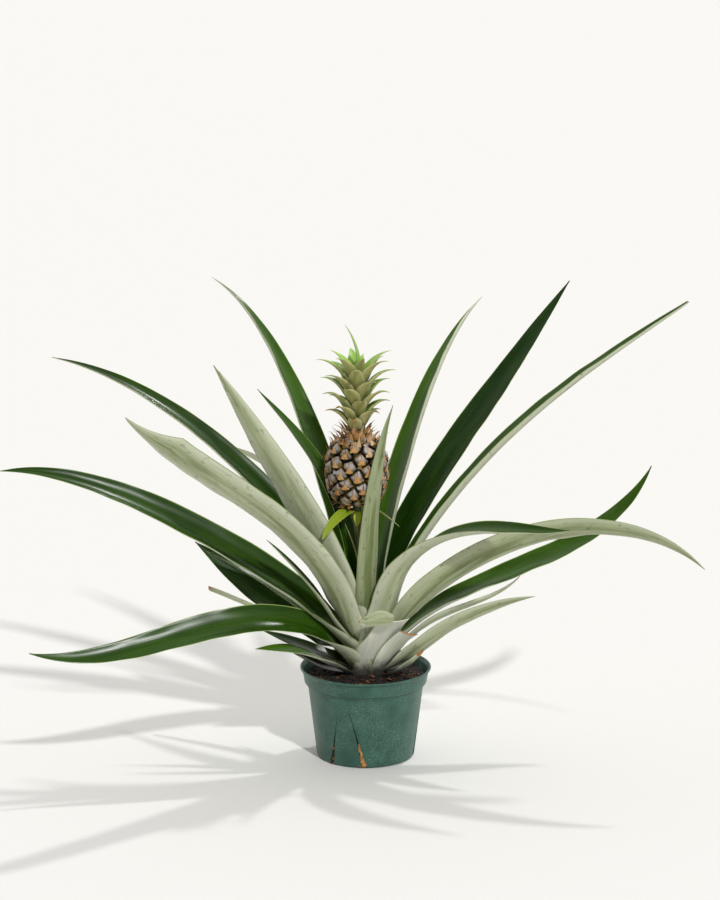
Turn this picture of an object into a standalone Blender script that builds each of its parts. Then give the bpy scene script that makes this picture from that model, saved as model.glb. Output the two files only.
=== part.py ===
"""A pineapple plant in fruit, growing in a round plastic nursery pot.

Units are metres, +Z is up and the origin is the middle of the pot's underside. A heading is an
angle in degrees about +Z, counted from +X towards +Y. A rise is an angle in degrees above level.
"""

import math
from dataclasses import dataclass, replace

import bmesh
import bpy
from mathutils import Matrix, Vector

GAP = 0.0003  # clearance between pieces that touch

# The pot: a thin moulded shell with a stepped lip, drainage holes and three splits in its wall.
POT_HEIGHT = 0.108
POT_BASE_RADIUS = 0.058
POT_BODY_TOP_RADIUS = 0.0685
POT_RIM_RADIUS = 0.077
POT_WALL = 0.0014
POT_LIP_HEIGHT = 0.019
POT_LIP_STEP = 0.0035
POT_BEAD = 0.0026  # how far the rim stands out past the lip's band
POT_BEAD_HEIGHT = 0.004
POT_BEAD_EDGE = 0.0012  # how far below the top the rim is widest
POT_BEAD_ROUND = 0.0006
POT_FOOT_BEVEL = 0.004
POT_SEGMENTS = 56
DRAIN_HOLES = 6
DRAIN_RADIUS = 0.005
DRAIN_RING_RADIUS = 0.036
DRAIN_FIRST_HEADING = 24.0
SPLITS = ((228.0, 0.046, 0.0045), (268.0, 0.036, 0.0045), (352.0, 0.062, 0.0030))  # heading, height, width
SPLIT_TOP_SHARE = 0.12  # a split's width at its top, as a share of its width at the pot's foot

# The potting mix, a disc with a well that the stem's foot stands in.
SOIL_DROP = 0.011  # how far the mix lies below the rim
SOIL_CLEARANCE = 0.0006  # between the mix and the pot's wall
SOIL_EDGE_CLEARANCE = 0.0026  # the same at the mix's top edge, where it has shrunk from the wall
SOIL_EDGE_DIP = 0.0025
SOIL_EDGE_SLOPE = 0.0035
SOIL_SEGMENTS = 48
WELL_DEPTH = 0.020

# The stem that carries the leaves, and the stalk that carries the fruit above it.
STEM_FOOT_RADIUS = 0.0140
STEM_TOP_RADIUS = 0.0100
STEM_CREST = 0.012  # how far the stem stands above the foot of its highest leaf
STEM_ROOT_RADIUS = 0.0098
STEM_ROOT_HEIGHT = 0.008
STEM_SEGMENTS = 24
STALK_RADIUS = 0.0052
STALK_LENGTH = 0.122
STALK_LEAN = -0.0105  # sideways shift of the fruit from the pot's axis
STALK_POINTS = 13

# The fruit and the crown of short leaves on it.
FRUIT_RADIUS = 0.0345
FRUIT_HEIGHT = 0.088
FRUIT_END_RADIUS = 0.012
FRUIT_SEGMENTS = 32
FRUIT_RINGS = 14
FRUIT_SQUARENESS = 2.6
CROWN_CORE_RADIUS = 0.0095
CROWN_CORE_TOP_RADIUS = 0.0035
CROWN_CORE_HEIGHT = 0.066
CROWN_CORE_SEGMENTS = 16
CROWN_LEAVES = 19
CROWN_FOOT_MARGIN = 0.004  # from the core's foot to the lowest leaf's
CROWN_TOP_MARGIN = 0.008  # from the highest leaf's foot to the core's top
GOLDEN_ANGLE = 137.508
CROWN_FIRST_HEADING = 262.0
CROWN_LEAF_WIDTH = 0.0125
CROWN_LEAF_FOOT_WIDTH = 0.0075
CROWN_LEAF_LENGTH = (0.030, 0.047)  # lowest and longest leaf
CROWN_LONGEST_AT = 0.625  # share of the core's height from which the leaves have their full length
CROWN_LEAF_FOOT_RISE = (48.0, 78.0)
CROWN_LEAF_TIP_RISE = (-8.0, 42.0)
CROWN_LEAF_BEND = (0.0, 0.2, 0.6, 1.0)  # share of the change of rise made at its foot, thirds and tip

# Blades: how finely they are divided, and the shape that they share.
BLADE_THICKNESS = 0.0016
BLADE_STATIONS = 14
BLADE_ACROSS = 4
SMALL_STATIONS = 6
SMALL_ACROSS = 2
BLADE_FOOT_WIDTH = 0.011
BLADE_FULL_AT = 0.30  # share of the length at which a blade reaches its full width
BLADE_FREE_AT = 0.15  # share of the length over which it clasps what carries it
BLADE_TAPER_POWER = 1.8
BLADE_TIP_POWER = 0.9
BLADE_TIP_WIDTH = 0.0014


@dataclass
class Blade:
    """One strap-shaped leaf: where it leaves what carries it, its course, and its cross-section."""

    height: float  # of its foot
    heading: tuple  # at the foot and at the tip
    rise: tuple  # at the foot, a third, two thirds and the tip
    length: float
    width: float
    cup: tuple  # half angle, in radians, of the arc across it, at the foot and at the tip
    roll: tuple = (0.0, 0.0)  # turn about its own length, at the foot and at the tip
    cut: float = 0.0  # width left at a blunt tip, as a share of the full width
    foot_width: float = BLADE_FOOT_WIDTH
    colour: str = "4a6420"

    def rise_at(self, share):
        """The cubic through the four rises."""
        a, b, c, d = self.rise
        s = share
        return (
            a * (1 - 3 * s) * (2 - 3 * s) * (1 - s) / 2
            + b * 9 * s * (2 - 3 * s) * (1 - s) / 2
            - c * 9 * s * (1 - 3 * s) * (1 - s) / 2
            + d * s * (1 - 3 * s) * (2 - 3 * s) / 2
        )

    def eased(self, share):
        """How far the blade has freed itself from the clasp at its foot: 0 there, and 1 once clear."""
        ease = min(share / BLADE_FREE_AT, 1.0)
        return ease * ease * (3 - 2 * ease)

    def cup_at(self, share, foot_cup):
        """The half angle of the arc across the blade, from the foot's to the blade's own."""
        return between((foot_cup, between(self.cup, share)), self.eased(share))

    def width_at(self, share):
        """Narrow where it clasps the stem, then full, then tapering to the tip."""
        if share < BLADE_FULL_AT:
            swell = math.sin(share / BLADE_FULL_AT * math.pi / 2)
            return self.foot_width + (self.width - self.foot_width) * swell
        along = (share - BLADE_FULL_AT) / (1 - BLADE_FULL_AT)
        taper = self.cut + (1 - self.cut) * (1 - along**BLADE_TAPER_POWER) ** BLADE_TIP_POWER
        return max(self.width * taper, BLADE_TIP_WIDTH)

    def axes_at(self, share):
        """The directions along, across and up out of the blade's upper face."""
        heading = math.radians(between(self.heading, share))
        rise = math.radians(self.rise_at(share))
        roll = math.radians(between(self.roll, share)) * self.eased(share)
        along = Vector(
            (math.cos(rise) * math.cos(heading), math.cos(rise) * math.sin(heading), math.sin(rise))
        )
        level = Vector((-math.sin(heading), math.cos(heading), 0.0))
        up = along.cross(level)
        across = level * math.cos(roll) + up * math.sin(roll)
        return along, across, along.cross(across)

    def course(self, start, stations):
        """The middle line, from its foot to its tip."""
        points = [start]
        step = self.length / stations
        for i in range(stations):
            along, _, _ = self.axes_at((i + 0.5) / stations)
            points.append(points[-1] + along * step)
        return points


def between(pair, share):
    """The value a share of the way from the first of a pair to the second."""
    return pair[0] + (pair[1] - pair[0]) * share


# Height above the potting mix, headings, rises, length, width, cup, roll and cut, lowest leaf first.
# They are named leaf_01 and on, in this order.
LEAVES = [
    Blade(0.003, (178, 180), (12, 16, 21, 26), 0.075, 0.022, (0.5, 0.4), (-10, -10), 0.3),
    Blade(0.003, (338, 340), (14, 24, 35, 47), 0.066, 0.020, (0.5, 0.4), (-20, -40), 0.5),
    Blade(0.007, (203, 200), (26, 25, 13, 1), 0.130, 0.026, (0.6, 0.4), (20, 50)),
    Blade(0.008, (350, 349), (30, 34, 26, 12), 0.210, 0.028, (0.5, 0.4), (-40, -60)),
    Blade(0.011, (168, 168), (20, 18, 17, 16), 0.116, 0.026, (0.5, 0.4), (0, -20)),
    Blade(0.013, (325, 323), (56, 48, 40, 32), 0.068, 0.024, (0.5, 0.4), (-15, -35), 0.8),
    Blade(0.014, (140, 145), (32, 10, 10, 7), 0.235, 0.014, (0.5, 0.3), (0, -10), 0.6),
    Blade(0.016, (14, 16), (40, 27, 17, 47), 0.200, 0.022, (0.5, 0.4), (5, 40)),
    Blade(0.019, (204, 194), (56, 4, -10, 18), 0.410, 0.042, (0.8, 0.3), (-15, -55)),
    Blade(0.020, (302, 302), (76, 60, 48, 38), 0.078, 0.038, (0.4, 0.3), (0, -10), 0.9),
    Blade(0.022, (15, 20), (46, 21, 25, 63), 0.410, 0.040, (0.6, 0.4), (0, 60)),
    Blade(0.024, (160, 160), (36, 25, 33, 32), 0.235, 0.040, (0.5, 0.4), (-25, -55)),
    Blade(0.026, (163, 172), (46, 36, 28, 20), 0.215, 0.024, (0.6, 0.4), (-20, -40)),
    Blade(0.027, (116, 114), (46, 38, 32, 24), 0.170, 0.028, (0.6, 0.4)),
    Blade(0.030, (72, 74), (52, 42, 34, 24), 0.200, 0.032, (0.6, 0.4)),
    Blade(0.030, (346, 338), (60, 34, 8, -40), 0.455, 0.044, (0.6, 0.6), (-35, -65)),
    Blade(0.031, (184, 180), (51, 34, 25, -4), 0.475, 0.050, (0.8, 0.5), (-20, -55)),
    Blade(0.034, (201, 192), (58, 55, 51, 44), 0.175, 0.024, (0.6, 0.4), (-30, -30)),
    Blade(0.037, (222, 216), (72, 47, 35, 53), 0.450, 0.044, (0.5, 0.4), (10, 50), 0.45),
    Blade(0.043, (325, 334), (76, 48, 12, 13), 0.330, 0.043, (0.6, 0.4), (-25, -70)),
    Blade(0.047, (168, 160), (70, 48, 32, 7), 0.510, 0.044, (0.7, 0.4), (-15, -30)),
    Blade(0.050, (118, 132), (66, 41, 17, 4), 0.362, 0.028, (0.5, 0.4), (20, 70)),
    Blade(0.052, (214, 212), (74, 61, 58, 56), 0.390, 0.042, (0.5, 0.5), (30, 60)),
    Blade(0.053, (13, 15), (67, 50, 36, 32), 0.545, 0.040, (0.5, 0.4), (0, 30), 0.2),
    Blade(0.056, (90, 86), (64, 56, 45, 25), 0.270, 0.040, (0.7, 0.5), (0, 0)),
    Blade(0.062, (272, 350), (80, 84, 80, 70), 0.275, 0.027, (0.6, 0.6), (20, -40)),
    Blade(0.062, (44, 38), (76, 48, 44, 45), 0.495, 0.042, (0.5, 0.4), (-5, 30)),
    Blade(0.066, (134, 138), (77, 65, 55, 19), 0.465, 0.044, (0.7, 0.4), (-20, 5)),
    Blade(0.070, (60, 58), (70, 60, 48, 21), 0.445, 0.045, (0.8, 0.6), (-12, 5)),
    Blade(0.072, (155, 155), (84, 75, 52, 44), 0.300, 0.026, (0.7, 0.5), (-20, -20)),
]

SOIL_TOP = POT_HEIGHT - SOIL_DROP
STEM_LENGTH = LEAVES[-1].height + STEM_CREST  # above the potting mix

# Bracts under the fruit, and the small leaf on its stalk. The height is a share of the stalk's length.
BRACT_FOOT_SHARE = 0.7  # a bract's width at its foot, as a share of its full width
BRACTS = {
    "bract_left": Blade(0.965, (237, 240), (2, -10, -24, -44), 0.074, 0.013, (0.4, 0.4), (-20, -20), 0.1),
    "bract_right": Blade(0.985, (350, 350), (0, -25, -35, -38), 0.052, 0.009, (0.3, 0.3), (-30, -30)),
    "bract_front": Blade(0.940, (275, 262), (-35, -70, -60, -20), 0.020, 0.009, (0.4, 0.3)),
    "stalk_leaf": Blade(0.420, (190, 185), (84, 74, 70, 66), 0.052, 0.009, (0.5, 0.4)),
}

# The long narrow leaf at the crown's top. The height is counted from the top of the crown's core.
CROWN_SPIKE = Blade(-0.006, (150, 176), (86, 82, 70, 52), 0.062, 0.009, (0.6, 0.5), foot_width=0.006)


def colour_value(hex_text):
    """An sRGB hex colour as linear RGBA."""
    values = [int(hex_text[i : i + 2], 16) / 255 for i in (0, 2, 4)]
    return [v / 12.92 if v <= 0.04045 else ((v + 0.055) / 1.055) ** 2.4 for v in values] + [1.0]


def give_material(thing, hex_text, roughness):
    """One Principled material of the piece's own."""
    material = bpy.data.materials.new(thing.name)
    material.use_nodes = True
    shader = material.node_tree.nodes["Principled BSDF"]
    shader.inputs["Base Color"].default_value = colour_value(hex_text)
    shader.inputs["Roughness"].default_value = roughness
    shader.inputs["Metallic"].default_value = 0.0
    thing.data.materials.append(material)


def new_object(name, shape):
    """An object made from a bmesh, which is freed."""
    mesh = bpy.data.meshes.new(name)
    shape.to_mesh(mesh)
    shape.free()
    thing = bpy.data.objects.new(name, mesh)
    bpy.context.collection.objects.link(thing)
    return thing


def turned(name, profile, segments, hex_text, roughness):
    """A solid of revolution about Z, from a profile of (radius, height) that starts and ends on the axis."""
    shape = bmesh.new()
    points = [shape.verts.new((radius, 0.0, height)) for radius, height in profile]
    edges = [shape.edges.new(pair) for pair in zip(points, points[1:])]
    bmesh.ops.spin(
        shape,
        geom=points + edges,
        axis=(0, 0, 1),
        cent=(0, 0, 0),
        angle=2 * math.pi,
        steps=segments,
        use_merge=True,
        use_duplicate=False,
    )
    bmesh.ops.remove_doubles(shape, verts=shape.verts, dist=1e-6)
    bmesh.ops.recalc_face_normals(shape, faces=shape.faces)
    thing = new_object(name, shape)
    give_material(thing, hex_text, roughness)
    thing.data.shade_smooth()
    thing.data.set_sharp_from_angle(angle=math.radians(35))
    return thing


def cut_with(thing, cutter):
    """Take a cutter's shape out of an object."""
    cutter.hide_render = True
    cutter.display_type = "WIRE"
    cut = thing.modifiers.new(cutter.name, "BOOLEAN")
    cut.operation = "DIFFERENCE"
    cut.object = cutter


def pot_radius_at(height):
    """The outside radius of the pot's tapering body."""
    return between((POT_BASE_RADIUS, POT_BODY_TOP_RADIUS), height / (POT_HEIGHT - POT_LIP_HEIGHT))


def make_pot():
    """The shell, turned from one profile, then bored for drainage and split."""
    shoulder = POT_HEIGHT - POT_LIP_HEIGHT
    lip_foot_radius = POT_BODY_TOP_RADIUS + POT_LIP_STEP
    lip_foot = shoulder + POT_LIP_STEP * 0.6
    lip_top_radius = POT_RIM_RADIUS - POT_BEAD
    rounding = POT_FOOT_BEVEL * 0.3
    rim_radius = POT_RIM_RADIUS - POT_BEAD_ROUND
    profile = [
        (0.0, 0.0),
        (POT_BASE_RADIUS - POT_FOOT_BEVEL, 0.0),
        (pot_radius_at(rounding) - rounding, rounding),
        (pot_radius_at(POT_FOOT_BEVEL), POT_FOOT_BEVEL),
        (POT_BODY_TOP_RADIUS, shoulder),
        (lip_foot_radius, lip_foot),
        (lip_top_radius, POT_HEIGHT - POT_BEAD_HEIGHT),
        (POT_RIM_RADIUS, POT_HEIGHT - POT_BEAD_EDGE),
        (rim_radius, POT_HEIGHT),
        (rim_radius - POT_WALL, POT_HEIGHT),
        (lip_top_radius - POT_WALL, POT_HEIGHT - POT_BEAD_HEIGHT),
        (lip_foot_radius - POT_WALL, lip_foot + POT_WALL),
        (POT_BODY_TOP_RADIUS - POT_WALL, shoulder + POT_WALL),
        (pot_radius_at(POT_FOOT_BEVEL) - POT_WALL, POT_FOOT_BEVEL),
        (POT_BASE_RADIUS - POT_FOOT_BEVEL, POT_WALL),
        (0.0, POT_WALL),
    ]
    pot = turned("pot", profile, POT_SEGMENTS, "3f665b", 0.45)
    for i in range(DRAIN_HOLES):
        turn = math.radians(DRAIN_FIRST_HEADING + 360 * i / DRAIN_HOLES)
        place = Vector((math.cos(turn), math.sin(turn), 0.0)) * DRAIN_RING_RADIUS
        bore = bmesh.new()
        bmesh.ops.create_cone(
            bore,
            cap_ends=True,
            segments=16,
            radius1=DRAIN_RADIUS,
            radius2=DRAIN_RADIUS,
            depth=POT_WALL * 4,
            matrix=Matrix.Translation(place),
        )
        cut_with(pot, new_object(f"drain_cutter_{i}", bore))
    for i, (heading, height, width) in enumerate(SPLITS):
        cut_with(pot, make_split_cutter(i, heading, height, width))
    return pot


def make_split_cutter(number, heading, height, width):
    """A wedge through the wall, wide at the pot's foot and closing to a hairline above."""
    wedge = bmesh.new()
    bmesh.ops.create_cube(wedge, size=1.0)
    depth = POT_FOOT_BEVEL * 3
    for point in wedge.verts:
        top = point.co.z > 0
        point.co.x = point.co.x * depth + pot_radius_at(height if top else 0.0)
        point.co.y *= width * SPLIT_TOP_SHARE if top else width
        point.co.z = height if top else -POT_WALL
    bmesh.ops.rotate(wedge, verts=wedge.verts, matrix=Matrix.Rotation(math.radians(heading), 3, "Z"))
    return new_object(f"split_cutter_{number}", wedge)


def stem_radius_at(height):
    """The radius of the tapering stem, by height above the potting mix."""
    return between((STEM_FOOT_RADIUS, STEM_TOP_RADIUS), min(max(height / STEM_LENGTH, 0.0), 1.0))


def make_soil():
    """The potting mix: it fills the pot inside its wall, with the stem's well in the middle."""
    floor = POT_WALL + GAP
    inset = POT_WALL + SOIL_CLEARANCE
    shoulder = POT_HEIGHT - POT_LIP_HEIGHT
    lip_radii = (POT_BODY_TOP_RADIUS + POT_LIP_STEP, POT_RIM_RADIUS - POT_BEAD)
    lip_radius = between(lip_radii, (SOIL_TOP - shoulder) / POT_LIP_HEIGHT)
    edge_radius = lip_radius - POT_WALL - SOIL_EDGE_CLEARANCE
    well_radius = STEM_FOOT_RADIUS + GAP
    profile = [
        (0.0, floor),
        (POT_BASE_RADIUS - POT_FOOT_BEVEL - inset, floor),
        (pot_radius_at(POT_FOOT_BEVEL * 2) - inset, POT_FOOT_BEVEL * 2),
        (POT_BODY_TOP_RADIUS - inset, shoulder + POT_WALL),
        (edge_radius, SOIL_TOP - SOIL_EDGE_DIP),
        (edge_radius - SOIL_EDGE_SLOPE, SOIL_TOP),
        (well_radius, SOIL_TOP),
        (well_radius, SOIL_TOP - WELL_DEPTH),
        (0.0, SOIL_TOP - WELL_DEPTH),
    ]
    return turned("potting_mix", profile, SOIL_SEGMENTS, "2e2418", 0.95)


def make_stem():
    """The short thick stem, from its well in the potting mix to the foot of the stalk."""
    foot = SOIL_TOP - WELL_DEPTH + GAP
    profile = [
        (0.0, foot),
        (STEM_ROOT_RADIUS, foot),
        (STEM_FOOT_RADIUS, foot + STEM_ROOT_HEIGHT),
        (STEM_FOOT_RADIUS, SOIL_TOP),
        (STEM_TOP_RADIUS, SOIL_TOP + STEM_LENGTH),
        (0.0, SOIL_TOP + STEM_LENGTH),
    ]
    return turned("stem", profile, STEM_SEGMENTS, "8a8f5e", 0.7)


def stalk_centre(share):
    """A point on the stalk's middle line: straight up at both ends, with an easy lean between."""
    ease = share * share * (3 - 2 * share)
    foot = SOIL_TOP + STEM_LENGTH + GAP
    return Vector((STALK_LEAN * ease, 0.0, foot + STALK_LENGTH * share))


def make_stalk():
    """The fruit's stalk, a rod along its middle line."""
    curve = bpy.data.curves.new("fruit_stalk", "CURVE")
    curve.dimensions = "3D"
    line = curve.splines.new("POLY")
    line.points.add(STALK_POINTS - 1)
    for i, point in enumerate(line.points):
        point.co = (*stalk_centre(i / (STALK_POINTS - 1)), 1.0)
    curve.bevel_depth = STALK_RADIUS
    curve.bevel_resolution = 3
    curve.use_fill_caps = True
    stalk = bpy.data.objects.new("fruit_stalk", curve)
    bpy.context.collection.objects.link(stalk)
    give_material(stalk, "7c7a5c", 0.7)
    return stalk


def fruit_foot():
    """The middle of the fruit's underside."""
    return stalk_centre(1.0) + Vector((0, 0, GAP))


def make_fruit():
    """The fruit: a barrel with flattened ends."""
    foot = fruit_foot()
    profile = [(0.0, 0.0)]
    for i in range(FRUIT_RINGS + 1):
        level = i / FRUIT_RINGS
        swell = (1 - abs(2 * level - 1) ** FRUIT_SQUARENESS) ** 0.5
        radius = FRUIT_END_RADIUS + (FRUIT_RADIUS - FRUIT_END_RADIUS) * swell
        profile.append((radius, FRUIT_HEIGHT * level))
    profile.append((0.0, FRUIT_HEIGHT))
    fruit = turned("fruit", profile, FRUIT_SEGMENTS, "7a6038", 0.6)
    fruit.location = foot
    return fruit


def crown_core_radius_at(share):
    """The radius of the crown's core, by the share of its height."""
    return between((CROWN_CORE_RADIUS, CROWN_CORE_TOP_RADIUS), share)


def make_crown_core():
    """The short core that the crown's leaves grow from."""
    foot = fruit_foot() + Vector((0, 0, FRUIT_HEIGHT + GAP))
    profile = [
        (0.0, 0.0),
        (CROWN_CORE_RADIUS, 0.0),
        (CROWN_CORE_TOP_RADIUS, CROWN_CORE_HEIGHT),
        (0.0, CROWN_CORE_HEIGHT),
    ]
    core = turned("crown_core", profile, CROWN_CORE_SEGMENTS, "6f7c3a", 0.6)
    core.location = foot
    return core


def seat_radius(carrier_radius, rise):
    """How far from the carrier's middle a blade's foot starts, so that it clears it by the gap."""
    return carrier_radius + GAP + BLADE_THICKNESS / 2 * abs(math.sin(math.radians(rise)))


def make_blade(name, blade, centre, carrier_radius, stations, across):
    """A blade as a grid bent along its course, thickened to both sides."""
    heading = math.radians(blade.heading[0])
    reach = seat_radius(carrier_radius, blade.rise[0])
    start = centre + Vector((math.cos(heading), math.sin(heading), 0.0)) * reach
    course = blade.course(start, stations)
    shape = bmesh.new()
    bmesh.ops.create_grid(shape, x_segments=stations, y_segments=across, size=0.5)
    for point in shape.verts:
        share = point.co.x + 0.5
        side = point.co.y * 2
        _, sideways, up = blade.axes_at(share)
        cup = blade.cup_at(share, blade.foot_width / 2 / (carrier_radius + BLADE_THICKNESS))
        arc = blade.width_at(share) / 2 / cup
        place = course[round(share * stations)]
        point.co = place + sideways * arc * math.sin(cup * side) + up * arc * (1 - math.cos(cup * side))
    thing = new_object(name, shape)
    give_material(thing, blade.colour, 0.35)
    thing.data.shade_smooth()
    wall = thing.modifiers.new("thickness", "SOLIDIFY")
    wall.thickness = BLADE_THICKNESS
    wall.offset = 0.0
    return thing


def make_leaves():
    """The plant's long leaves, each with its foot on the stem."""
    for number, blade in enumerate(LEAVES, start=1):
        centre = Vector((0, 0, SOIL_TOP + blade.height))
        radius = stem_radius_at(blade.height)
        make_blade(f"leaf_{number:02d}", blade, centre, radius, BLADE_STATIONS, BLADE_ACROSS)


def make_bracts():
    """The bracts and the small leaf, each with its foot on the stalk."""
    for name, blade in BRACTS.items():
        blade.colour = "9aa83a"
        blade.foot_width = blade.width * BRACT_FOOT_SHARE
        make_blade(name, blade, stalk_centre(blade.height), STALK_RADIUS, SMALL_STATIONS, SMALL_ACROSS)


def crown_blade(number):
    """One of the crown's leaves, each a golden angle on from the last."""
    share = number / CROWN_LEAVES
    heading = CROWN_FIRST_HEADING + GOLDEN_ANGLE * number
    rises = (between(CROWN_LEAF_FOOT_RISE, share), between(CROWN_LEAF_TIP_RISE, share))
    return Blade(
        between((CROWN_FOOT_MARGIN, CROWN_CORE_HEIGHT - CROWN_TOP_MARGIN), share),
        (heading, heading),
        tuple(between(rises, bend) for bend in CROWN_LEAF_BEND),
        between(CROWN_LEAF_LENGTH, min(share / CROWN_LONGEST_AT, 1.0)),
        CROWN_LEAF_WIDTH,
        (0.7, 0.5),
        foot_width=CROWN_LEAF_FOOT_WIDTH,
    )


def make_crown_leaves():
    """The crown's leaves, and the long one at its top, each with its foot on the crown's core."""
    foot = fruit_foot() + Vector((0, 0, FRUIT_HEIGHT + GAP))
    blades = {f"crown_leaf_{i + 1:02d}": crown_blade(i) for i in range(CROWN_LEAVES)}
    blades["crown_spike"] = replace(CROWN_SPIKE, height=CROWN_CORE_HEIGHT + CROWN_SPIKE.height)
    for name, blade in blades.items():
        blade.colour = "5d6c38"
        radius = crown_core_radius_at(blade.height / CROWN_CORE_HEIGHT)
        centre = foot + Vector((0, 0, blade.height))
        make_blade(name, blade, centre, radius, SMALL_STATIONS, SMALL_ACROSS)


def main():
    """Clear the scene and build the plant from its pot up."""
    for thing in list(bpy.data.objects):
        bpy.data.objects.remove(thing, do_unlink=True)
    make_pot()
    make_soil()
    make_stem()
    make_stalk()
    make_fruit()
    make_crown_core()
    make_leaves()
    make_bracts()
    make_crown_leaves()


main()
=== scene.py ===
"""Looks of a pineapple plant in a plastic nursery pot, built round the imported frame.

Units are metres and +Z is up, as in the frame. A heading is an angle in degrees about +Z, counted
from +X towards +Y, and a rise is an angle in degrees above level.
"""

import logging
import math
import random
from collections.abc import Iterator
from dataclasses import dataclass, replace
from enum import Enum
from typing import Any

import bmesh
import bpy
from bmesh.types import BMesh
from bpy.types import Material, Node, NodeSocket, NodeTree, Object
from mathutils import Matrix, Vector, noise


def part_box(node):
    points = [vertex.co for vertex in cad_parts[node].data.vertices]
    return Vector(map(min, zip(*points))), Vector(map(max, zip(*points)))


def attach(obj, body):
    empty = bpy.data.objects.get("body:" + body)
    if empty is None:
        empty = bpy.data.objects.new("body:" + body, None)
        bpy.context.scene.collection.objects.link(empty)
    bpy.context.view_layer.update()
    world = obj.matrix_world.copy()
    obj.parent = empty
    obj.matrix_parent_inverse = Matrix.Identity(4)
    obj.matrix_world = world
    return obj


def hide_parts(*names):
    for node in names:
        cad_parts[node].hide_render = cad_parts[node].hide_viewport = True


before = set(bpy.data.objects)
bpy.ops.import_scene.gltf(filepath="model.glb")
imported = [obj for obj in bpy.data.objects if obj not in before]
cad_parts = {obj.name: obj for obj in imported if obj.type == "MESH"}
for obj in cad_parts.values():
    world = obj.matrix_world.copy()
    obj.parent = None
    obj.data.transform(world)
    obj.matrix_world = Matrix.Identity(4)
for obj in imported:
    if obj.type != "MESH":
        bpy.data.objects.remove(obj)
LOG = logging.getLogger("pineapple")

UP = Vector((0.0, 0.0, 1.0))
GOLDEN_ANGLE = 137.508
BODY = "root"
MERGE = 1e-6  # points nearer than this are one
FRUIT_NECK = 0.012  # height of the ragged scales above the fruit's eyes
FRUIT_SKIRT = 0.005  # height of those below them
SCALE_STAND = 0.0015  # how far the eyes' own scales stand out past them
WAVE_LENGTH = 0.034  # between the waves of a blade's margins
UNEVEN_LENGTH = 0.050  # between the wide and the narrow stretches of a blade
UNEVEN_SHARE = 0.05  # how far its width strays

# What each point carries for the finishes. Its place is across, along and a number of the piece's own; its
# spot is how far it is from the middle line and along the blade; its wear is how fresh, white and dry it is.
POINT_LAYERS = ("place", "spot", "wear")
Points = tuple[NodeSocket, Any, Any]  # a place, and the three parts of a spot and of a wear


def between(pair: tuple[float, float], share: float) -> float:
    """The value a share of the way from the first of a pair to the second."""
    return pair[0] + (pair[1] - pair[0]) * share


def eased(share: float) -> float:
    """A share from 0 to 1, slow at both ends and held there."""
    held = min(max(share, 0.0), 1.0)
    return held * held * (3 - 2 * held)


def outward(heading: float) -> Vector:
    """The level direction at a heading in degrees."""
    angle = math.radians(heading)
    return Vector((math.cos(angle), math.sin(angle), 0.0))


def linear(hex_text: str) -> tuple[float, float, float, float]:
    """An sRGB hex colour as linear RGBA.

    Args:
        hex_text: six hex digits.

    Returns:
        Red, green, blue and an alpha of one.
    """
    values = [int(hex_text[i : i + 2], 16) / 255 for i in (0, 2, 4)]
    red, green, blue = (v / 12.92 if v <= 0.04045 else ((v + 0.055) / 1.055) ** 2.4 for v in values)
    return red, green, blue, 1.0


def add(
    tree: NodeTree,
    kind: str,
    links: dict[Any, Any] | None = None,
    stops: tuple[tuple[float, str], ...] = (),
    **settings: Any,
) -> Node:
    """Add one shader node with its settings and links.

    Args:
        tree: the material's node tree.
        kind: the node's type, without its prefix.
        links: what each input takes, by name or number: a socket, a node's first output, or a value.
        stops: a colour ramp's places and sRGB hex colours.
        settings: the node's own properties.

    Returns:
        The node.
    """
    node = tree.nodes.new("ShaderNode" + kind)
    for name, value in settings.items():
        setattr(node, name, value)
    for number, (place, colour) in enumerate(stops):
        elements = node.color_ramp.elements
        if number == 0:
            elements.remove(elements[1])
        stop = elements.new(place) if number else elements[0]
        stop.position = place
        stop.color = linear(colour)
    for key, value in (links or {}).items():
        if isinstance(value, Node):
            value = value.outputs[0]
        if isinstance(value, NodeSocket):
            tree.links.new(value, node.inputs[key])
        else:
            node.inputs[key].default_value = value
    return node


def new_shape() -> BMesh:
    """An empty bmesh with the point layers that the finishes read."""
    shape = bmesh.new()
    for name in POINT_LAYERS:
        shape.verts.layers.float_vector.new(name)
    return shape


def new_object(name: str, shape: BMesh) -> Object:
    """Turn a bmesh into an object.

    Args:
        name: the object's name and its mesh's.
        shape: its bmesh, which is freed.

    Returns:
        The object.
    """
    mesh = bpy.data.meshes.new(name)
    shape.to_mesh(mesh)
    shape.free()
    made = bpy.data.objects.new(name, mesh)
    bpy.context.scene.collection.objects.link(made)
    return made


def new_piece(
    name: str,
    shape: BMesh,
    materials: list[Material],
    nodes: tuple[str, ...] = (),
    sharp: float = 40.0,
) -> Object:
    """Turn a bmesh into a piece of the plant, which rides on the frame.

    Args:
        name: the piece's name.
        shape: its bmesh, which is freed.
        materials: its materials, by its faces' indices.
        nodes: the frame's nodes that it stands for.
        sharp: edges that turn by more than this many degrees stay sharp.

    Returns:
        The piece.
    """
    piece = new_object(name, shape)
    mesh = piece.data
    for material in materials:
        mesh.materials.append(material)
    mesh.shade_smooth()
    mesh.set_sharp_from_angle(angle=math.radians(sharp))
    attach(piece, BODY)
    if nodes:
        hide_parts(*nodes)
    LOG.info("%s: %d faces", name, len(mesh.polygons))
    return piece


def coat(node: str, material: Material) -> None:
    """Give one of the frame's own nodes a finish."""
    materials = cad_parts[node].data.materials
    materials.clear()
    materials.append(material)


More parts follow.
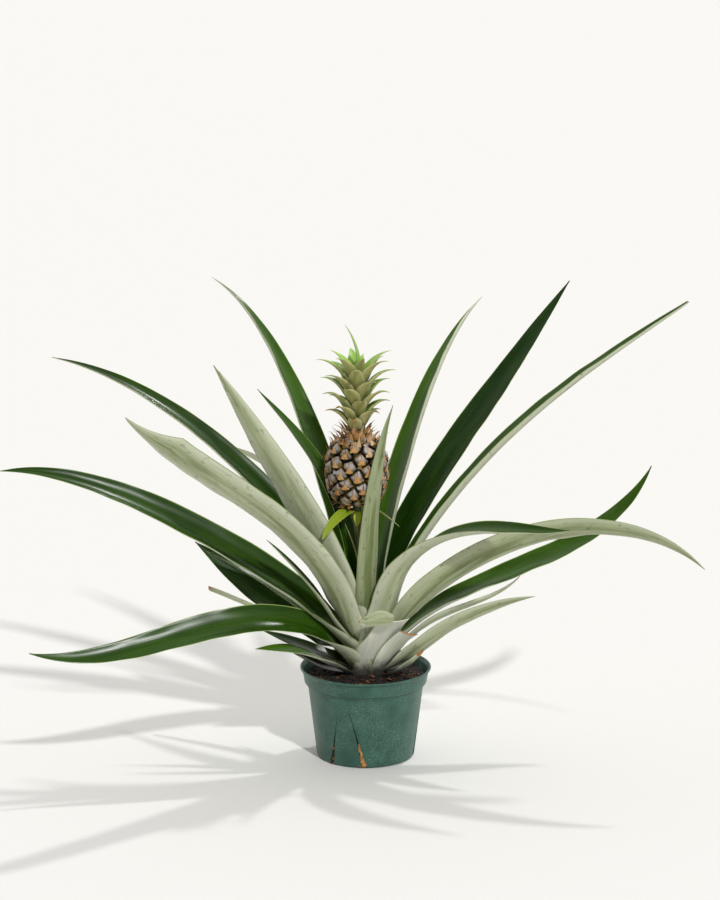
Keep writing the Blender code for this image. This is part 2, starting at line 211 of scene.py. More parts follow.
def turned(shape: BMesh, profile: list[tuple[float, float]], steps: int) -> None:
    """Add a solid of revolution about Z.

    Args:
        shape: the bmesh it goes into.
        profile: (radius, height) points that start and end on the axis.
        steps: divisions of the full turn.
    """
    points = [shape.verts.new((radius, 0.0, height)) for radius, height in profile]
    edges = [shape.edges.new(pair) for pair in zip(points, points[1:])]
    bmesh.ops.spin(
        shape, geom=points + edges, axis=UP, cent=(0.0, 0.0, 0.0), angle=math.tau, steps=steps,
        use_merge=True,
    )
    bmesh.ops.remove_doubles(shape, verts=shape.verts, dist=MERGE)
    bmesh.ops.recalc_face_normals(shape, faces=shape.faces)


def filleted(profile: list[tuple[float, float, float]], arc_steps: int = 5) -> list[tuple[float, float]]:
    """Round the corners of a profile.

    Args:
        profile: (radius, height, fillet radius) of each corner.
        arc_steps: divisions of each rounded corner.

    Returns:
        The profile's (radius, height) points.
    """
    points: list[tuple[float, float]] = []
    for i, (across, height, fillet) in enumerate(profile):
        corner = Vector((across, height))
        if fillet == 0.0 or i in (0, len(profile) - 1):
            points.append((across, height))
            continue
        back = (Vector(profile[i - 1][:2]) - corner).normalized()
        onward = (Vector(profile[i + 1][:2]) - corner).normalized()
        half = back.angle(onward) / 2
        reach = fillet / math.tan(half)
        centre = corner + (back + onward).normalized() * (fillet / math.sin(half))
        first = corner + back * reach - centre
        last = corner + onward * reach - centre
        for step in range(arc_steps + 1):
            spoke = first.lerp(last, step / arc_steps).normalized() * fillet
            points.append(tuple(centre + spoke))
    return points


def carried(tree: NodeTree) -> Points:
    """Read what a piece's points carry.

    Args:
        tree: the material's node tree.

    Returns:
        Their place, and the three parts of their spot and of their wear.
    """
    place, spot, wear = (add(tree, "Attribute", attribute_name=n).outputs["Vector"] for n in POINT_LAYERS)
    return place, add(tree, "SeparateXYZ", {0: spot}).outputs, add(tree, "SeparateXYZ", {0: wear}).outputs


def grained(tree: NodeTree, where: NodeSocket, sizes: tuple[float, ...], **settings: float) -> Node:
    """A noise with grains of a real size.

    Args:
        tree: the material's node tree.
        where: the coordinates it follows.
        sizes: a grain's size along each of them.
        settings: the noise's own inputs.

    Returns:
        The noise.
    """
    scale = tuple(1 / size for size in sizes)
    at = add(tree, "VectorMath", {0: where, 1: scale}, operation="MULTIPLY")
    return add(tree, "TexNoise", {"Vector": at, "Scale": 1.0, **settings})


def layered(
    tree: NodeTree,
    colour: NodeSocket | tuple[float, ...],
    *layers: tuple[Node, str],
) -> NodeSocket:
    """Lay sRGB hex colours over a colour, each where its mask says.

    Args:
        tree: the material's node tree.
        colour: the lowest colour.
        layers: the (mask, colour) of each layer, lowest first.

    Returns:
        The finished colour.
    """
    for mask, over in layers:
        colour = add(tree, "Mix", {0: mask, 6: colour, 7: linear(over)}, data_type="RGBA").outputs[2]
    return colour


def dress(
    tree: NodeTree,
    shader: Node,
    colour: NodeSocket,
    relief: Node,
    bump: tuple[float, float],
    rough: NodeSocket | None = None,
) -> None:
    """Join a colour and a relief to the shader, and a roughness where it varies.

    Args:
        tree: the material's node tree.
        shader: its Principled shader.
        colour: the colour.
        relief: the pattern that stands up from the surface.
        bump: how strong the relief is, and how deep in metres.
        rough: the roughness, or none for the finish's own.
    """
    raised = add(tree, "Bump", {"Strength": bump[0], "Distance": bump[1], "Height": relief})
    tree.links.new(colour, shader.inputs["Base Color"])
    tree.links.new(raised.outputs[0], shader.inputs["Normal"])
    if rough is not None:
        tree.links.new(rough, shader.inputs["Roughness"])


@dataclass(frozen=True)
class Finish:
    """What every finish does: open a material, set its gloss and lay its nodes."""

    roughness: float = 0.6

    def build(self, name: str) -> Material:
        """Make the material.

        Args:
            name: its name.

        Returns:
            The material.
        """
        material = bpy.data.materials.new(name)
        material.use_nodes = True
        shader = material.node_tree.nodes["Principled BSDF"]
        shader.inputs["Roughness"].default_value = self.roughness
        self.lay(material.node_tree, shader)
        return material

    def lay(self, tree: NodeTree, shader: Node) -> None:
        """Lay the finish's own nodes.

        Args:
            tree: the material's node tree.
            shader: its Principled shader.
        """
        raise NotImplementedError


@dataclass(frozen=True)
class LeafFinish(Finish):
    """What both faces of a leaf share: a dry brown tip, and a foot darkened near the mix by peat stain and
    painted shade.
    """

    dry: str = "93602f"
    peat_and_foot_shade: str = "1d130a"
    soil_height: float = 0.0  # height at which the peat stain and painted shade at the foot have faded out
    soil_fade: float = 0.022
    blotch_scale: float = 160.0

    def aged(
        self, tree: NodeTree, colour: NodeSocket, grain: Node, points: Points
    ) -> tuple[NodeSocket, Node]:
        """Dry the tip and stain the foot.

        Args:
            tree: the material's node tree.
            colour: the fresh, clean colour.
            grain: the pattern that frays the dry part's edge.
            points: what the blade's points carry.

        Returns:
            The colour, and the mask of the dry part.
        """
        _, spot, wear = points
        ragged = add(tree, "Math", {0: grain, 1: 0.05, 2: spot[1]}, operation="MULTIPLY_ADD")
        start = add(tree, "Math", {0: 1.02, 1: wear[2]}, operation="SUBTRACT")
        dried = add(tree, "Math", {0: ragged, 1: start}, operation="SUBTRACT")
        dryness = add(tree, "MapRange", {"Value": dried, "From Min": 0.0, "From Max": 0.03})
        where = add(tree, "TexCoord").outputs["Object"]
        level = add(tree, "SeparateXYZ", {0: where}).outputs[2]
        blotch = add(tree, "TexNoise", {"Vector": where, "Scale": self.blotch_scale, "Detail": 3.0})
        uneven = add(tree, "Math", {0: blotch, 1: -0.016, 2: level}, operation="MULTIPLY_ADD")
        clean, deepest = self.soil_height, self.soil_height - self.soil_fade
        # painted shade where the leaf feet crowd together near the mix, mixed with peat stain: darker toward
        # the mix
        stain = add(
            tree, "MapRange", {"Value": uneven, "From Min": clean, "From Max": deepest, "To Max": 0.93},
            interpolation_type="SMOOTHSTEP",
        )
        return layered(tree, colour, (dryness, self.dry), (stain, self.peat_and_foot_shade)), dryness


@dataclass(frozen=True)
class LeafUpperFinish(LeafFinish):
    """The upper face of a strap leaf: a thick waxy cuticle, dark, smooth and glossy.

    The eye gets a deep green with fine veins along it, a long soft glare, and a thin pale margin.
    """

    deep: str = "102a02"
    fresh: str = "48700f"
    margin: str = "93a862"
    foot: str = "8c9468"
    vein: tuple[float, float] = (0.0013, 0.110)  # width and length, coarser than real ones so that they show
    cloud: tuple[float, float] = (0.014, 0.070)
    roughness: float = 0.27

    def lay(self, tree: NodeTree, shader: Node) -> None:
        """Lay veins and clouds of green, the pale foot and margin, and the dry tip.

        Args:
            tree: the material's node tree.
            shader: its Principled shader.
        """
        place, spot, wear = points = carried(tree)
        veins = grained(tree, place, (*self.vein, 1.0), Detail=3.0, Roughness=0.6)
        cloud = grained(tree, place, (*self.cloud, 1.0), Detail=2.0)
        streaks = add(tree, "Math", {0: veins, 1: 0.5, 2: -0.25}, operation="MULTIPLY_ADD")
        tone = add(tree, "Math", {0: cloud, 1: 0.45, 2: streaks}, operation="MULTIPLY_ADD")
        tone = add(tree, "Math", {0: tone, 1: wear[0]}, operation="ADD")
        tone = add(tree, "Math", {0: tone, 1: -0.22}, operation="ADD")
        green = add(tree, "ValToRGB", {0: tone}, stops=((0.0, self.deep), (1.0, self.fresh)))
        footing = add(
            tree, "MapRange", {"Value": spot[1], "From Min": 0.12, "From Max": -0.01},
            interpolation_type="SMOOTHSTEP",
        )
        rim = add(tree, "MapRange", {"Value": spot[0], "From Min": 0.945, "From Max": 0.985})
        fresh = layered(tree, green.outputs[0], (footing, self.foot), (rim, self.margin))
        colour, dryness = self.aged(tree, fresh, veins, points)
        rough = add(tree, "Math", {0: cloud, 1: 0.10, 2: self.roughness - 0.05}, operation="MULTIPLY_ADD")
        rough = add(tree, "Math", {0: dryness, 1: 0.4, 2: rough}, operation="MULTIPLY_ADD")
        dress(tree, shader, colour, veins, (0.35, 0.00025), rough.outputs[0])
        shader.inputs["Specular IOR Level"].default_value = 0.24


@dataclass(frozen=True)
class LeafLowerFinish(LeafFinish):
    """The lower face of a strap leaf: a matt coat of pale scurf over green.

    The eye gets a grey-green bloom with fine lines along it, an olive streak where the gutter has
    rubbed, and scattered darker spots.
    """

    scurf: str = "b2b995"
    white: str = "d0d2c2"
    olive: str = "6c7a45"
    spots: str = "5f6c3a"
    margin: str = "8a9a5c"
    dry: str = "a0703c"
    line: tuple[float, float] = (0.0010, 0.060)  # width and length, coarser than real ones so that they show
    streak: tuple[float, float] = (0.008, 0.110)
    fleck: tuple[float, float] = (0.0045, 0.011)
    roughness: float = 0.62
    nap: float = 0.12

    def lay(self, tree: NodeTree, shader: Node) -> None:
        """Lay the scurf, its rubbed streak, spots and lines, the margin and the dry tip.

        Args:
            tree: the material's node tree.
            shader: its Principled shader.
        """
        place, spot, wear = points = carried(tree)
        sizes = (self.line, self.streak, self.fleck)
        lines, streaks, spots = (grained(tree, place, (*size, 1.0), Detail=3.0) for size in sizes)
        edges = add(tree, "MapRange", {"Value": spot[0], "From Min": 0.3, "From Max": 0.9, "To Max": 0.5})
        whiteness = add(tree, "Math", {0: edges, 1: wear[1]}, operation="ADD", use_clamp=True)
        middle = add(tree, "MapRange", {"Value": spot[0], "From Min": 0.75, "From Max": 0.1})
        rubbed = add(tree, "MapRange", {"Value": streaks, "From Min": 0.38, "From Max": 0.64})
        rubbed = add(tree, "Math", {0: rubbed, 1: middle}, operation="MULTIPLY")
        bare = add(tree, "Math", {0: 1.0, 1: wear[1]}, operation="SUBTRACT")
        rubbed = add(tree, "Math", {0: rubbed, 1: bare}, operation="MULTIPLY")
        # olive laid over the whole lower face where white is below 0: rubbed green on some leaves, painted
        # shade on others
        olive_rub_and_shade = add(tree, "Math", {0: wear[1], 1: -1.0}, operation="MULTIPLY", use_clamp=True)
        rubbed = add(tree, "Math", {0: rubbed, 1: 0.85, 2: olive_rub_and_shade}, operation="MULTIPLY_ADD", use_clamp=True)
        marks = add(tree, "MapRange", {"Value": spots, "From Min": 0.60, "From Max": 0.74, "To Max": 0.7})
        marks = add(tree, "Math", {0: marks, 1: bare}, operation="MULTIPLY")
        scurf = linear(self.scurf)
        marked = layered(tree, scurf, (whiteness, self.white), (rubbed, self.olive), (marks, self.spots))
        limits = {"From Min": 0.3, "From Max": 0.7, "To Min": 0.86, "To Max": 1.08}
        fine = add(tree, "MapRange", {"Value": lines, **limits})
        lined = add(tree, "VectorMath", {0: marked, "Scale": fine}, operation="SCALE")
        rim = add(tree, "MapRange", {"Value": spot[0], "From Min": 0.93, "From Max": 0.98})
        colour, _ = self.aged(tree, layered(tree, lined.outputs[0], (rim, self.margin)), lines, points)
        dress(tree, shader, colour, lines, (0.4, 0.0003))
        shader.inputs["Sheen Weight"].default_value = self.nap


@dataclass(frozen=True)
class DryScaleFinish(Finish):
    """Dead scales round the fruit: papery, brown and frayed, darker at the point."""

    base: str = "b59a4c"
    middle: str = "bd8a52"
    pale: str = "e0c296"
    tip: str = "3a1e0e"
    fibre: tuple[float, float] = (0.0006, 0.006)  # width and length, coarser than real ones
    roughness: float = 0.7

    def lay(self, tree: NodeTree, shader: Node) -> None:
        """Lay fibres, darker toward the point, and bleach some scales.

        Args:
            tree: the material's node tree.
            shader: its Principled shader.
        """
        place, spot, wear = carried(tree)
        fibres = grained(tree, place, (*self.fibre, 1.0), Detail=3.0)
        along = add(tree, "Math", {0: fibres, 1: 0.7, 2: spot[1]}, operation="MULTIPLY_ADD")
        along = add(tree, "Math", {0: along, 1: wear[2]}, operation="ADD")
        along = add(tree, "Math", {0: along, 1: -0.35}, operation="ADD")
        stops = ((0.0, self.base), (0.3, self.middle), (0.60, self.middle), (0.98, self.tip))
        brown = add(tree, "ValToRGB", {0: along}, stops=stops)
        bleached = add(tree, "MapRange", {"Value": wear[0], "From Min": 0.6, "From Max": 1.0, "To Max": 0.7})
        dress(tree, shader, layered(tree, brown.outputs[0], (bleached, self.pale)), fibres, (0.5, 0.0003))


@dataclass(frozen=True)
class EyeFinish(Finish):
    """The fruit's eyes: hard horny skin, grey with a violet cast, with a painted highlight on top and painted
    shade in the seams.
    """

    seam: str = "0b0804"
    flank: str = "3f3219"
    skin: str = "5c5140"
    painted_highlight: str = "aba4a2"
    stain: str = "7a6528"
    grain: float = 0.0022
    eye_reach: float = 0.006
    roughness: float = 0.32

    def lay(self, tree: NodeTree, shader: Node) -> None:
        """Paint each eye from painted shade in its seam up to a painted highlight on its upper half, and
        stain it in patches.

        Args:
            tree: the material's node tree.
            shader: its Principled shader.
        """
        where = add(tree, "TexCoord").outputs["Object"]
        place, spot, _ = carried(tree)
        settings = {"Vector": where, "Scale": 1 / self.grain, "Detail": 4.0, "Roughness": 0.65}
        grain = add(tree, "TexNoise", settings)
        patch = add(tree, "TexNoise", {"Vector": where, "Scale": 0.3 / self.grain, "Detail": 2.0})
        uphill = add(tree, "SeparateXYZ", {0: place}).outputs[1]
        # painted highlight on the upper half of each eye, painted shade on its lower half
        limits = {"From Min": -self.eye_reach, "From Max": self.eye_reach, "To Min": -0.40, "To Max": 0.20}
        upper = add(tree, "MapRange", {"Value": uphill, **limits})
        height = add(tree, "Math", {0: spot[0], 1: 0.8, 2: upper}, operation="MULTIPLY_ADD")
        height = add(tree, "Math", {0: grain, 1: 0.5, 2: height}, operation="MULTIPLY_ADD")
        height = add(tree, "Math", {0: height, 1: -0.25}, operation="ADD")
        # the near-black seam and brown flank stops are painted shade in the hollows between eyes, over the
        # skin's own brown; the pale top stop is a painted highlight
        stops = ((0.05, self.seam), (0.32, self.flank), (0.6, self.skin), (0.95, self.painted_highlight))
        clean = add(tree, "ValToRGB", {0: height}, stops=stops)
        stained = add(tree, "MapRange", {"Value": patch, "From Min": 0.50, "From Max": 0.62, "To Max": 0.8})
        dress(tree, shader, layered(tree, clean.outputs[0], (stained, self.stain)), grain, (0.6, 0.0006))


@dataclass(frozen=True)
class StemFinish(Finish):
    """Stem and stalk: a firm green rod, ribbed along it and greyed by scurf."""

    green: str = "6d7448"
    grey: str = "8d8c74"
    shade: str = "4a4a30"
    rib: float = 0.0012
    rib_length: float = 0.020

    def lay(self, tree: NodeTree, shader: Node) -> None:
        """Lay the ribs.

        Args:
            tree: the material's node tree.
            shader: its Principled shader.
        """
        where = add(tree, "TexCoord").outputs["Object"]
        ribs = grained(tree, where, (self.rib, self.rib, self.rib_length), Detail=3.0)
        stops = ((0.25, self.shade), (0.5, self.green), (0.8, self.grey))
        dress(tree, shader, add(tree, "ValToRGB", {0: ribs}, stops=stops).outputs[0], ribs, (0.4, 0.0003))


@dataclass(frozen=True)
class MixFinish(Finish):
    """Potting mix and bark: crumbs of dark peat, and orange-brown bark with a rough torn grain."""

    dark: str = "070503"
    middle: str = "140d08"
    light: str = "3c2513"
    crumb: float = 0.0024
    roughness: float = 0.95

    def lay(self, tree: NodeTree, shader: Node) -> None:
        """Lay the crumbs, lighter where a point's wear says.

        Args:
            tree: the material's node tree.
            shader: its Principled shader.
        """
        where = add(tree, "TexCoord").outputs["Object"]
        _, _, wear = carried(tree)
        settings = {"Vector": where, "Scale": 1 / self.crumb, "Detail": 5.0, "Roughness": 0.7}
        crumbs = add(tree, "TexNoise", settings)
        tone = add(tree, "Math", {0: crumbs, 1: 0.8, 2: wear[0]}, operation="MULTIPLY_ADD")
        stops = ((0.3, self.dark), (0.55, self.middle), (0.95, self.light))
        dress(tree, shader, add(tree, "ValToRGB", {0: tone}, stops=stops).outputs[0], crumbs, (0.8, 0.001))


@dataclass(frozen=True)
class PotFinish(Finish):
    """Recycled polypropylene, thinly moulded: teal-green, half matt, with pale flecks and scuffs."""

    green: str = "244d41"
    lighter: str = "386253"
    fleck: str = "88aa9d"
    scuff: str = "6d8d83"
    fleck_size: float = 0.0011
    cloud_size: float = 0.016
    scuff_width: float = 0.0009
    scuff_length: float = 0.020
    roughness: float = 0.44

    def lay(self, tree: NodeTree, shader: Node) -> None:
        """Lay clouds of green, patches of flecks, and upright scuffs.

        Args:
            tree: the material's node tree.
            shader: its Principled shader.
        """
        where = add(tree, "TexCoord").outputs["Object"]
        cloud = add(tree, "TexNoise", {"Vector": where, "Scale": 1 / self.cloud_size, "Detail": 3.0})
        base = add(tree, "ValToRGB", {0: cloud}, stops=((0.3, self.green), (0.75, self.lighter)))
        flecks = add(tree, "TexNoise", {"Vector": where, "Scale": 1 / self.fleck_size, "Detail": 2.0})
        patch = add(tree, "TexNoise", {"Vector": where, "Scale": 0.4 / self.cloud_size, "Detail": 1.0})
        patchy = add(tree, "MapRange", {"Value": patch, "From Min": 0.34, "From Max": 0.56})
        flecked = add(tree, "MapRange", {"Value": flecks, "From Min": 0.55, "From Max": 0.70, "To Max": 0.55})
        flecked = add(tree, "Math", {0: flecked, 1: patchy}, operation="MULTIPLY")
        scuffs = grained(tree, where, (self.scuff_width, self.scuff_width, self.scuff_length), Detail=2.0)
        scuffed = add(tree, "MapRange", {"Value": scuffs, "From Min": 0.66, "From Max": 0.76, "To Max": 0.35})
        colour = layered(tree, base.outputs[0], (flecked, self.fleck), (scuffed, self.scuff))
        rough = add(tree, "Math", {0: cloud, 1: 0.12, 2: self.roughness - 0.06}, operation="MULTIPLY_ADD")
        dress(tree, shader, colour, flecks, (0.15, 0.0003), rough.outputs[0])
        shader.inputs["IOR"].default_value = 1.49


@dataclass(frozen=True)
class FloorFinish(Finish):
    """Matt white studio board."""

    white: str = "dad9d6"
    roughness: float = 0.9

    def lay(self, tree: NodeTree, shader: Node) -> None:
        """Set the plain white.

        Args:
            tree: the material's node tree.
            shader: its Principled shader.
        """
        shader.inputs["Base Color"].default_value = linear(self.white)
        shader.inputs["Specular IOR Level"].default_value = 0.1


@dataclass(frozen=True)
class Blade:
    """One strap-shaped leaf: where it leaves what carries it, its course, section and wear."""

    height: float  # of its foot
    heading: tuple[float, float]  # at the foot and at the tip
    rise: tuple[float, float, float, float]  # at the foot, a third, two thirds and the tip
    length: float
    width: float
    cup: tuple[float, float]  # half angle, in radians, of the arc across it, at the foot and at the tip
    roll: tuple[float, float] = (0.0, 0.0)  # turn about its own length, at the foot and at the tip
    cut: float = 0.0  # width left at a blunt tip, as a share of the full width
    foot_width: float = 0.011
    foot_cup: float = 1.2
    sheath: float = 0.0  # how far it runs on down what carries it, below its foot
    thickness: float = 0.0022
    full_at: float = 0.30  # share of the length at which it reaches its full width
    free_at: float = 0.15  # share of the length over which it clasps what carries it
    taper_power: float = 1.8
    tip_power: float = 0.9
    tip_width: float = 0.0012
    slant: float = 0.0  # how far one corner of a blunt tip stands past the other, in half widths
    torn_at: float = 1.0  # share of the length from which one margin is torn back to the other
    torn_side: int = -1  # the margin that is left
    flare: float = 0.0  # how much wider its foot is than the blade above it
    flare_length: float = 0.05  # the length over which the foot narrows to the blade
    spread: float = 0.0  # how far its foot is pushed out by the feet inside it
    spread_length: float = 0.11  # the length over which it comes back to its course
    ripple: float = 0.0016  # how far its margins wave
    vigour: float = 0.25  # how fresh the green is, from 0, deep, to 1
    white: float = 0.0  # how white its lower face is; less than 0 where it is darkened toward olive: rubbed green on some leaves, painted shade on others whose lower face turns down
    dry: float = 0.0  # share of its length that is dry and brown at the tip
    seed: float = 0.0

    def rise_at(self, share: float) -> float:
        """The rise in degrees at a share of the length: a cubic through the four, steep in the sheath."""
        a, b, c, d = self.rise
        if share < 0:
            return between((a, max(a, 86.0)), eased(-share * self.length / max(self.sheath, MERGE)))
        s = share
        return (
            a * (1 - 3 * s) * (2 - 3 * s) * (1 - s) / 2
            + b * 9 * s * (2 - 3 * s) * (1 - s) / 2
            - c * 9 * s * (1 - 3 * s) * (1 - s) / 2
            + d * s * (1 - 3 * s) * (2 - 3 * s) / 2
        )

    def width_at(self, share: float) -> float:
        """The width at a share of the length: narrower at the foot, then full, then tapering."""
        flare = self.flare * (1 - eased(share * self.length / self.flare_length))
        if share < self.full_at:
            swell = math.sin(max(share, 0.0) / self.full_at * math.pi / 2)
            return between((self.foot_width, self.width), swell) + flare
        along = (share - self.full_at) / (1 - self.full_at)
        taper = self.cut + (1 - self.cut) * (1 - along**self.taper_power) ** self.tip_power
        return max(self.width * taper, self.tip_width) + flare

    def axes_at(self, share: float) -> tuple[Vector, Vector, Vector]:
        """The directions along the blade, across it and up out of its upper face.

        Args:
            share: the share of the length.

        Returns:
            Three unit vectors.
        """
        level = max(share, 0.0)
        heading = math.radians(between(self.heading, level))
        rise = math.radians(self.rise_at(share))
        roll = math.radians(between(self.roll, level)) * eased(level / self.free_at)
        along = Vector(
            (math.cos(rise) * math.cos(heading), math.cos(rise) * math.sin(heading), math.sin(rise))
        )
        side = Vector((-math.sin(heading), math.cos(heading), 0.0))
        across = side * math.cos(roll) + along.cross(side) * math.sin(roll)
        return along, across, along.cross(across)

    def course(self, foot: Vector, shares: list[float]) -> list[Vector]:
        """The middle line, through the foot and at each share.

        Args:
            foot: where the blade leaves what carries it.
            shares: shares of the length, from the sheath's lowest to 1, with 0 among them.

        Returns:
            A point for each share.
        """
        points = [Vector()]
        for first, second in zip(shares, shares[1:]):
            along, _, _ = self.axes_at((first + second) / 2)
            points.append(points[-1] + along * (second - first) * self.length)
        shift = foot - points[shares.index(0.0)]
        push = outward(self.heading[0]) * self.spread
        fade = min(self.spread_length, self.length)
        spreads = [push * (1 - eased(share * self.length / fade)) for share in shares]
        return [point + shift + spread for point, spread in zip(points, spreads)]

    def build_into(self, shape: BMesh, foot: Vector, stations: int, across: int) -> None:
        """Add the blade to a bmesh, as two bent grids that meet at the margins.

        Args:
            shape: the bmesh, with the layers of new_shape.
            foot: where the blade leaves what carries it.
            stations: divisions along its free length.
            across: divisions across it.
        """
        layers = shape.verts.layers.float_vector
        place, spot, wear = layers["place"], layers["spot"], layers["wear"]
        below = math.ceil(self.sheath / self.length * stations)
        shares = [-(below - i) / max(below, 1) * self.sheath / self.length for i in range(below)]
        shares += [i / stations for i in range(stations + 1)]
        course = self.course(foot, shares)
        rows = len(shares) - 1
        margins = []
        for face in (1, -1):
            made = bmesh.ops.create_grid(shape, x_segments=rows, y_segments=across, size=0.5)["verts"]
            for point in made:
                row = round((point.co.x + 0.5) * rows)
                edge = 2 * point.co.y
                edge = 1.25 * edge - 0.25 * edge**3  # columns stand closer at the margins
                margin = row in (0, rows) or abs(edge) > 1 - MERGE
                share = shares[row]
                point.co = self.surface(course[row], share, edge, 0.0 if margin else face)
                lengthwise = share * self.length
                point[place] = (edge * self.width_at(share) / 2, lengthwise, self.seed * 7.3)
                point[spot] = (abs(edge), share, 0.0)
                point[wear] = (self.vigour, self.white, self.dry)
                if margin:
                    margins.append(point)
            if face < 0:
                faces = list({f for point in made for f in point.link_faces})
                bmesh.ops.reverse_faces(shape, faces=faces)
                for f in faces:
                    f.material_index = 1
        bmesh.ops.remove_doubles(shape, verts=margins, dist=MERGE)

    def surface(self, middle: Vector, share: float, edge: float, face: int) -> Vector:
        """A point of the blade's skin.

        Args:
            middle: the middle line's point at this share.
            share: the share of the length.
            edge: from -1 at one margin to 1 at the other.
            face: 1 on the upper face, -1 on the lower, 0 between them.

        Returns:
            The point.
        """
        along, across, up = self.axes_at(share)
        level = max(share, 0.0)
        torn = max((level - self.torn_at) / max(1 - self.torn_at, MERGE), 0.0)
        rim = edge
        edge = edge * (1 - torn) + self.torn_side * torn
        free = eased(level / self.free_at)
        cup = between((self.foot_cup, between(self.cup, level)), free)
        lengthwise = share * self.length
        hand = 1.7 if edge > 0 else 5.2  # the two margins wave apart
        uneven = noise.noise(Vector((lengthwise / UNEVEN_LENGTH, hand, self.seed)))
        width = self.width_at(share) * (1 + UNEVEN_SHARE * uneven * abs(edge) * free)
        arc = width / 2 / cup
        wave = noise.noise(Vector((lengthwise / WAVE_LENGTH, hand + 2.0, self.seed)))
        lift = self.ripple * edge * edge * wave * free * min(1.0, width / 0.03)
        lift += face * self.thickness / 2 * (1 - rim**4) ** 0.5 * min(1.0, 0.35 + width / self.width)
        end = eased((level - 0.85) / 0.15) * self.cut
        slide = self.slant * edge * width / 2 * end
        bend = cup * edge
        normal = up * math.cos(bend) - across * math.sin(bend)
        curved = across * arc * math.sin(bend) + up * arc * (1 - math.cos(bend))
        return middle + curved + normal * lift + along * slide


# Height above the potting mix, headings, rises, length, width, cup, roll and cut, lowest leaf first.
LEAVES = [
    Blade(0.003, (178, 180), (12, 16, 21, 26), 0.075, 0.022, (0.5, 0.4), (-10, -10), 0.3, dry=0.1),
    Blade(0.003, (338, 340), (14, 24, 35, 47), 0.066, 0.022, (1.2, 0.9), (0, -10), 0.4, dry=0.12, vigour=0.0),
    Blade(0.007, (203, 200), (26, 25, 13, 1), 0.130, 0.026, (0.6, 0.4), (20, -35), white=0.5, vigour=0.7),
    # white below 0 here is painted shade on a lower face that turns down
    Blade(0.008, (350, 349), (30, 34, 26, 12), 0.210, 0.028, (0.5, 0.4), (-40, -60), white=-0.1),
    Blade(0.011, (168, 168), (20, 18, 17, 16), 0.116, 0.026, (0.5, 0.4), (0, -20), vigour=0.1),
    Blade(
        0.013, (325, 323), (56, 48, 40, 32), 0.068, 0.028, (0.5, 0.5), (-15, -35), 0.75,
        slant=0.5, white=0.7, dry=0.03,
    ),
    Blade(0.014, (140, 145), (32, 10, 10, 7), 0.235, 0.014, (0.5, 0.3), (0, 70), 0.5, dry=0.03),
    Blade(0.016, (14, 16), (40, 27, 17, 47), 0.200, 0.022, (0.5, 0.4), (-30, -50), dry=0.05),
    Blade(0.019, (204, 194), (56, 4, -10, 18), 0.410, 0.043, (1.0, 0.3), (-30, -56), dry=0.01),
    Blade(
        0.020, (306, 306), (72, 56, 46, 40), 0.076, 0.045, (0.5, 0.3), (0, -10), 0.85,
        slant=0.15, white=1.0,
    ),
    Blade(
        0.022, (15, 20), (46, 21, 25, 63), 0.410, 0.040, (0.8, 0.4), (-15, 50),
        vigour=0.35, ripple=0.0030,
    ),
    Blade(0.024, (160, 160), (36, 25, 33, 32), 0.235, 0.040, (0.5, 0.4), (-25, -55), vigour=0.05),
    Blade(0.026, (163, 172), (46, 36, 28, 20), 0.215, 0.024, (0.6, 0.4), (-20, -40)),
    Blade(0.027, (116, 114), (46, 38, 32, 24), 0.170, 0.028, (0.6, 0.4)),
    Blade(0.030, (72, 74), (52, 42, 34, 24), 0.200, 0.032, (0.6, 0.4)),
    # white below 0 here is painted shade on a lower face that turns down
    Blade(0.030, (346, 338), (60, 34, 8, -40), 0.455, 0.044, (0.7, 0.6), (-35, -65), white=-0.2),
    Blade(0.031, (184, 180), (51, 34, 25, -4), 0.475, 0.052, (1.0, 0.8), (-20, -42), vigour=0.2),
    Blade(0.034, (201, 192), (58, 55, 51, 44), 0.175, 0.024, (0.8, 0.5), (0, -20)),
    Blade(
        0.037, (222, 216), (72, 47, 35, 53), 0.450, 0.046, (0.5, 0.4), (10, 50), 0.7,
        dry=0.015, torn_at=0.86,
    ),
    Blade(0.043, (325, 334), (76, 48, 12, 13), 0.330, 0.050, (0.9, 0.9), (-26, 30), spread=0.007),
    Blade(0.047, (168, 160), (70, 48, 32, 7), 0.510, 0.046, (0.9, 0.9), (-14, -8), vigour=0.15),
    Blade(0.050, (118, 132), (66, 41, 17, 4), 0.362, 0.028, (0.5, 0.4), (20, 70)),
    Blade(0.052, (214, 212), (74, 61, 58, 56), 0.390, 0.042, (0.5, 0.5), (30, 60), dry=0.015),
    Blade(0.053, (13, 15), (67, 50, 36, 32), 0.545, 0.047, (0.9, 0.8), (-14, -8), 0.2),
    Blade(0.056, (90, 86), (64, 56, 45, 25), 0.270, 0.040, (0.7, 0.5)),
    Blade(0.062, (272, 350), (79, 82, 81, 72), 0.275, 0.027, (0.6, 0.6), (20, -40), white=-0.45),
    Blade(0.062, (44, 38), (76, 48, 44, 45), 0.495, 0.043, (0.5, 0.4), (-5, 30), vigour=0.02),
    Blade(0.066, (134, 138), (77, 65, 55, 19), 0.465, 0.047, (0.9, 0.9), (-5, 27), vigour=0.45),
    Blade(0.070, (60, 58), (70, 60, 48, 21), 0.445, 0.054, (0.9, 1.0), (-25, -44), vigour=0.45),
    Blade(0.072, (155, 155), (84, 75, 52, 44), 0.300, 0.026, (0.7, 0.5), (-20, -20), vigour=0.3),
]


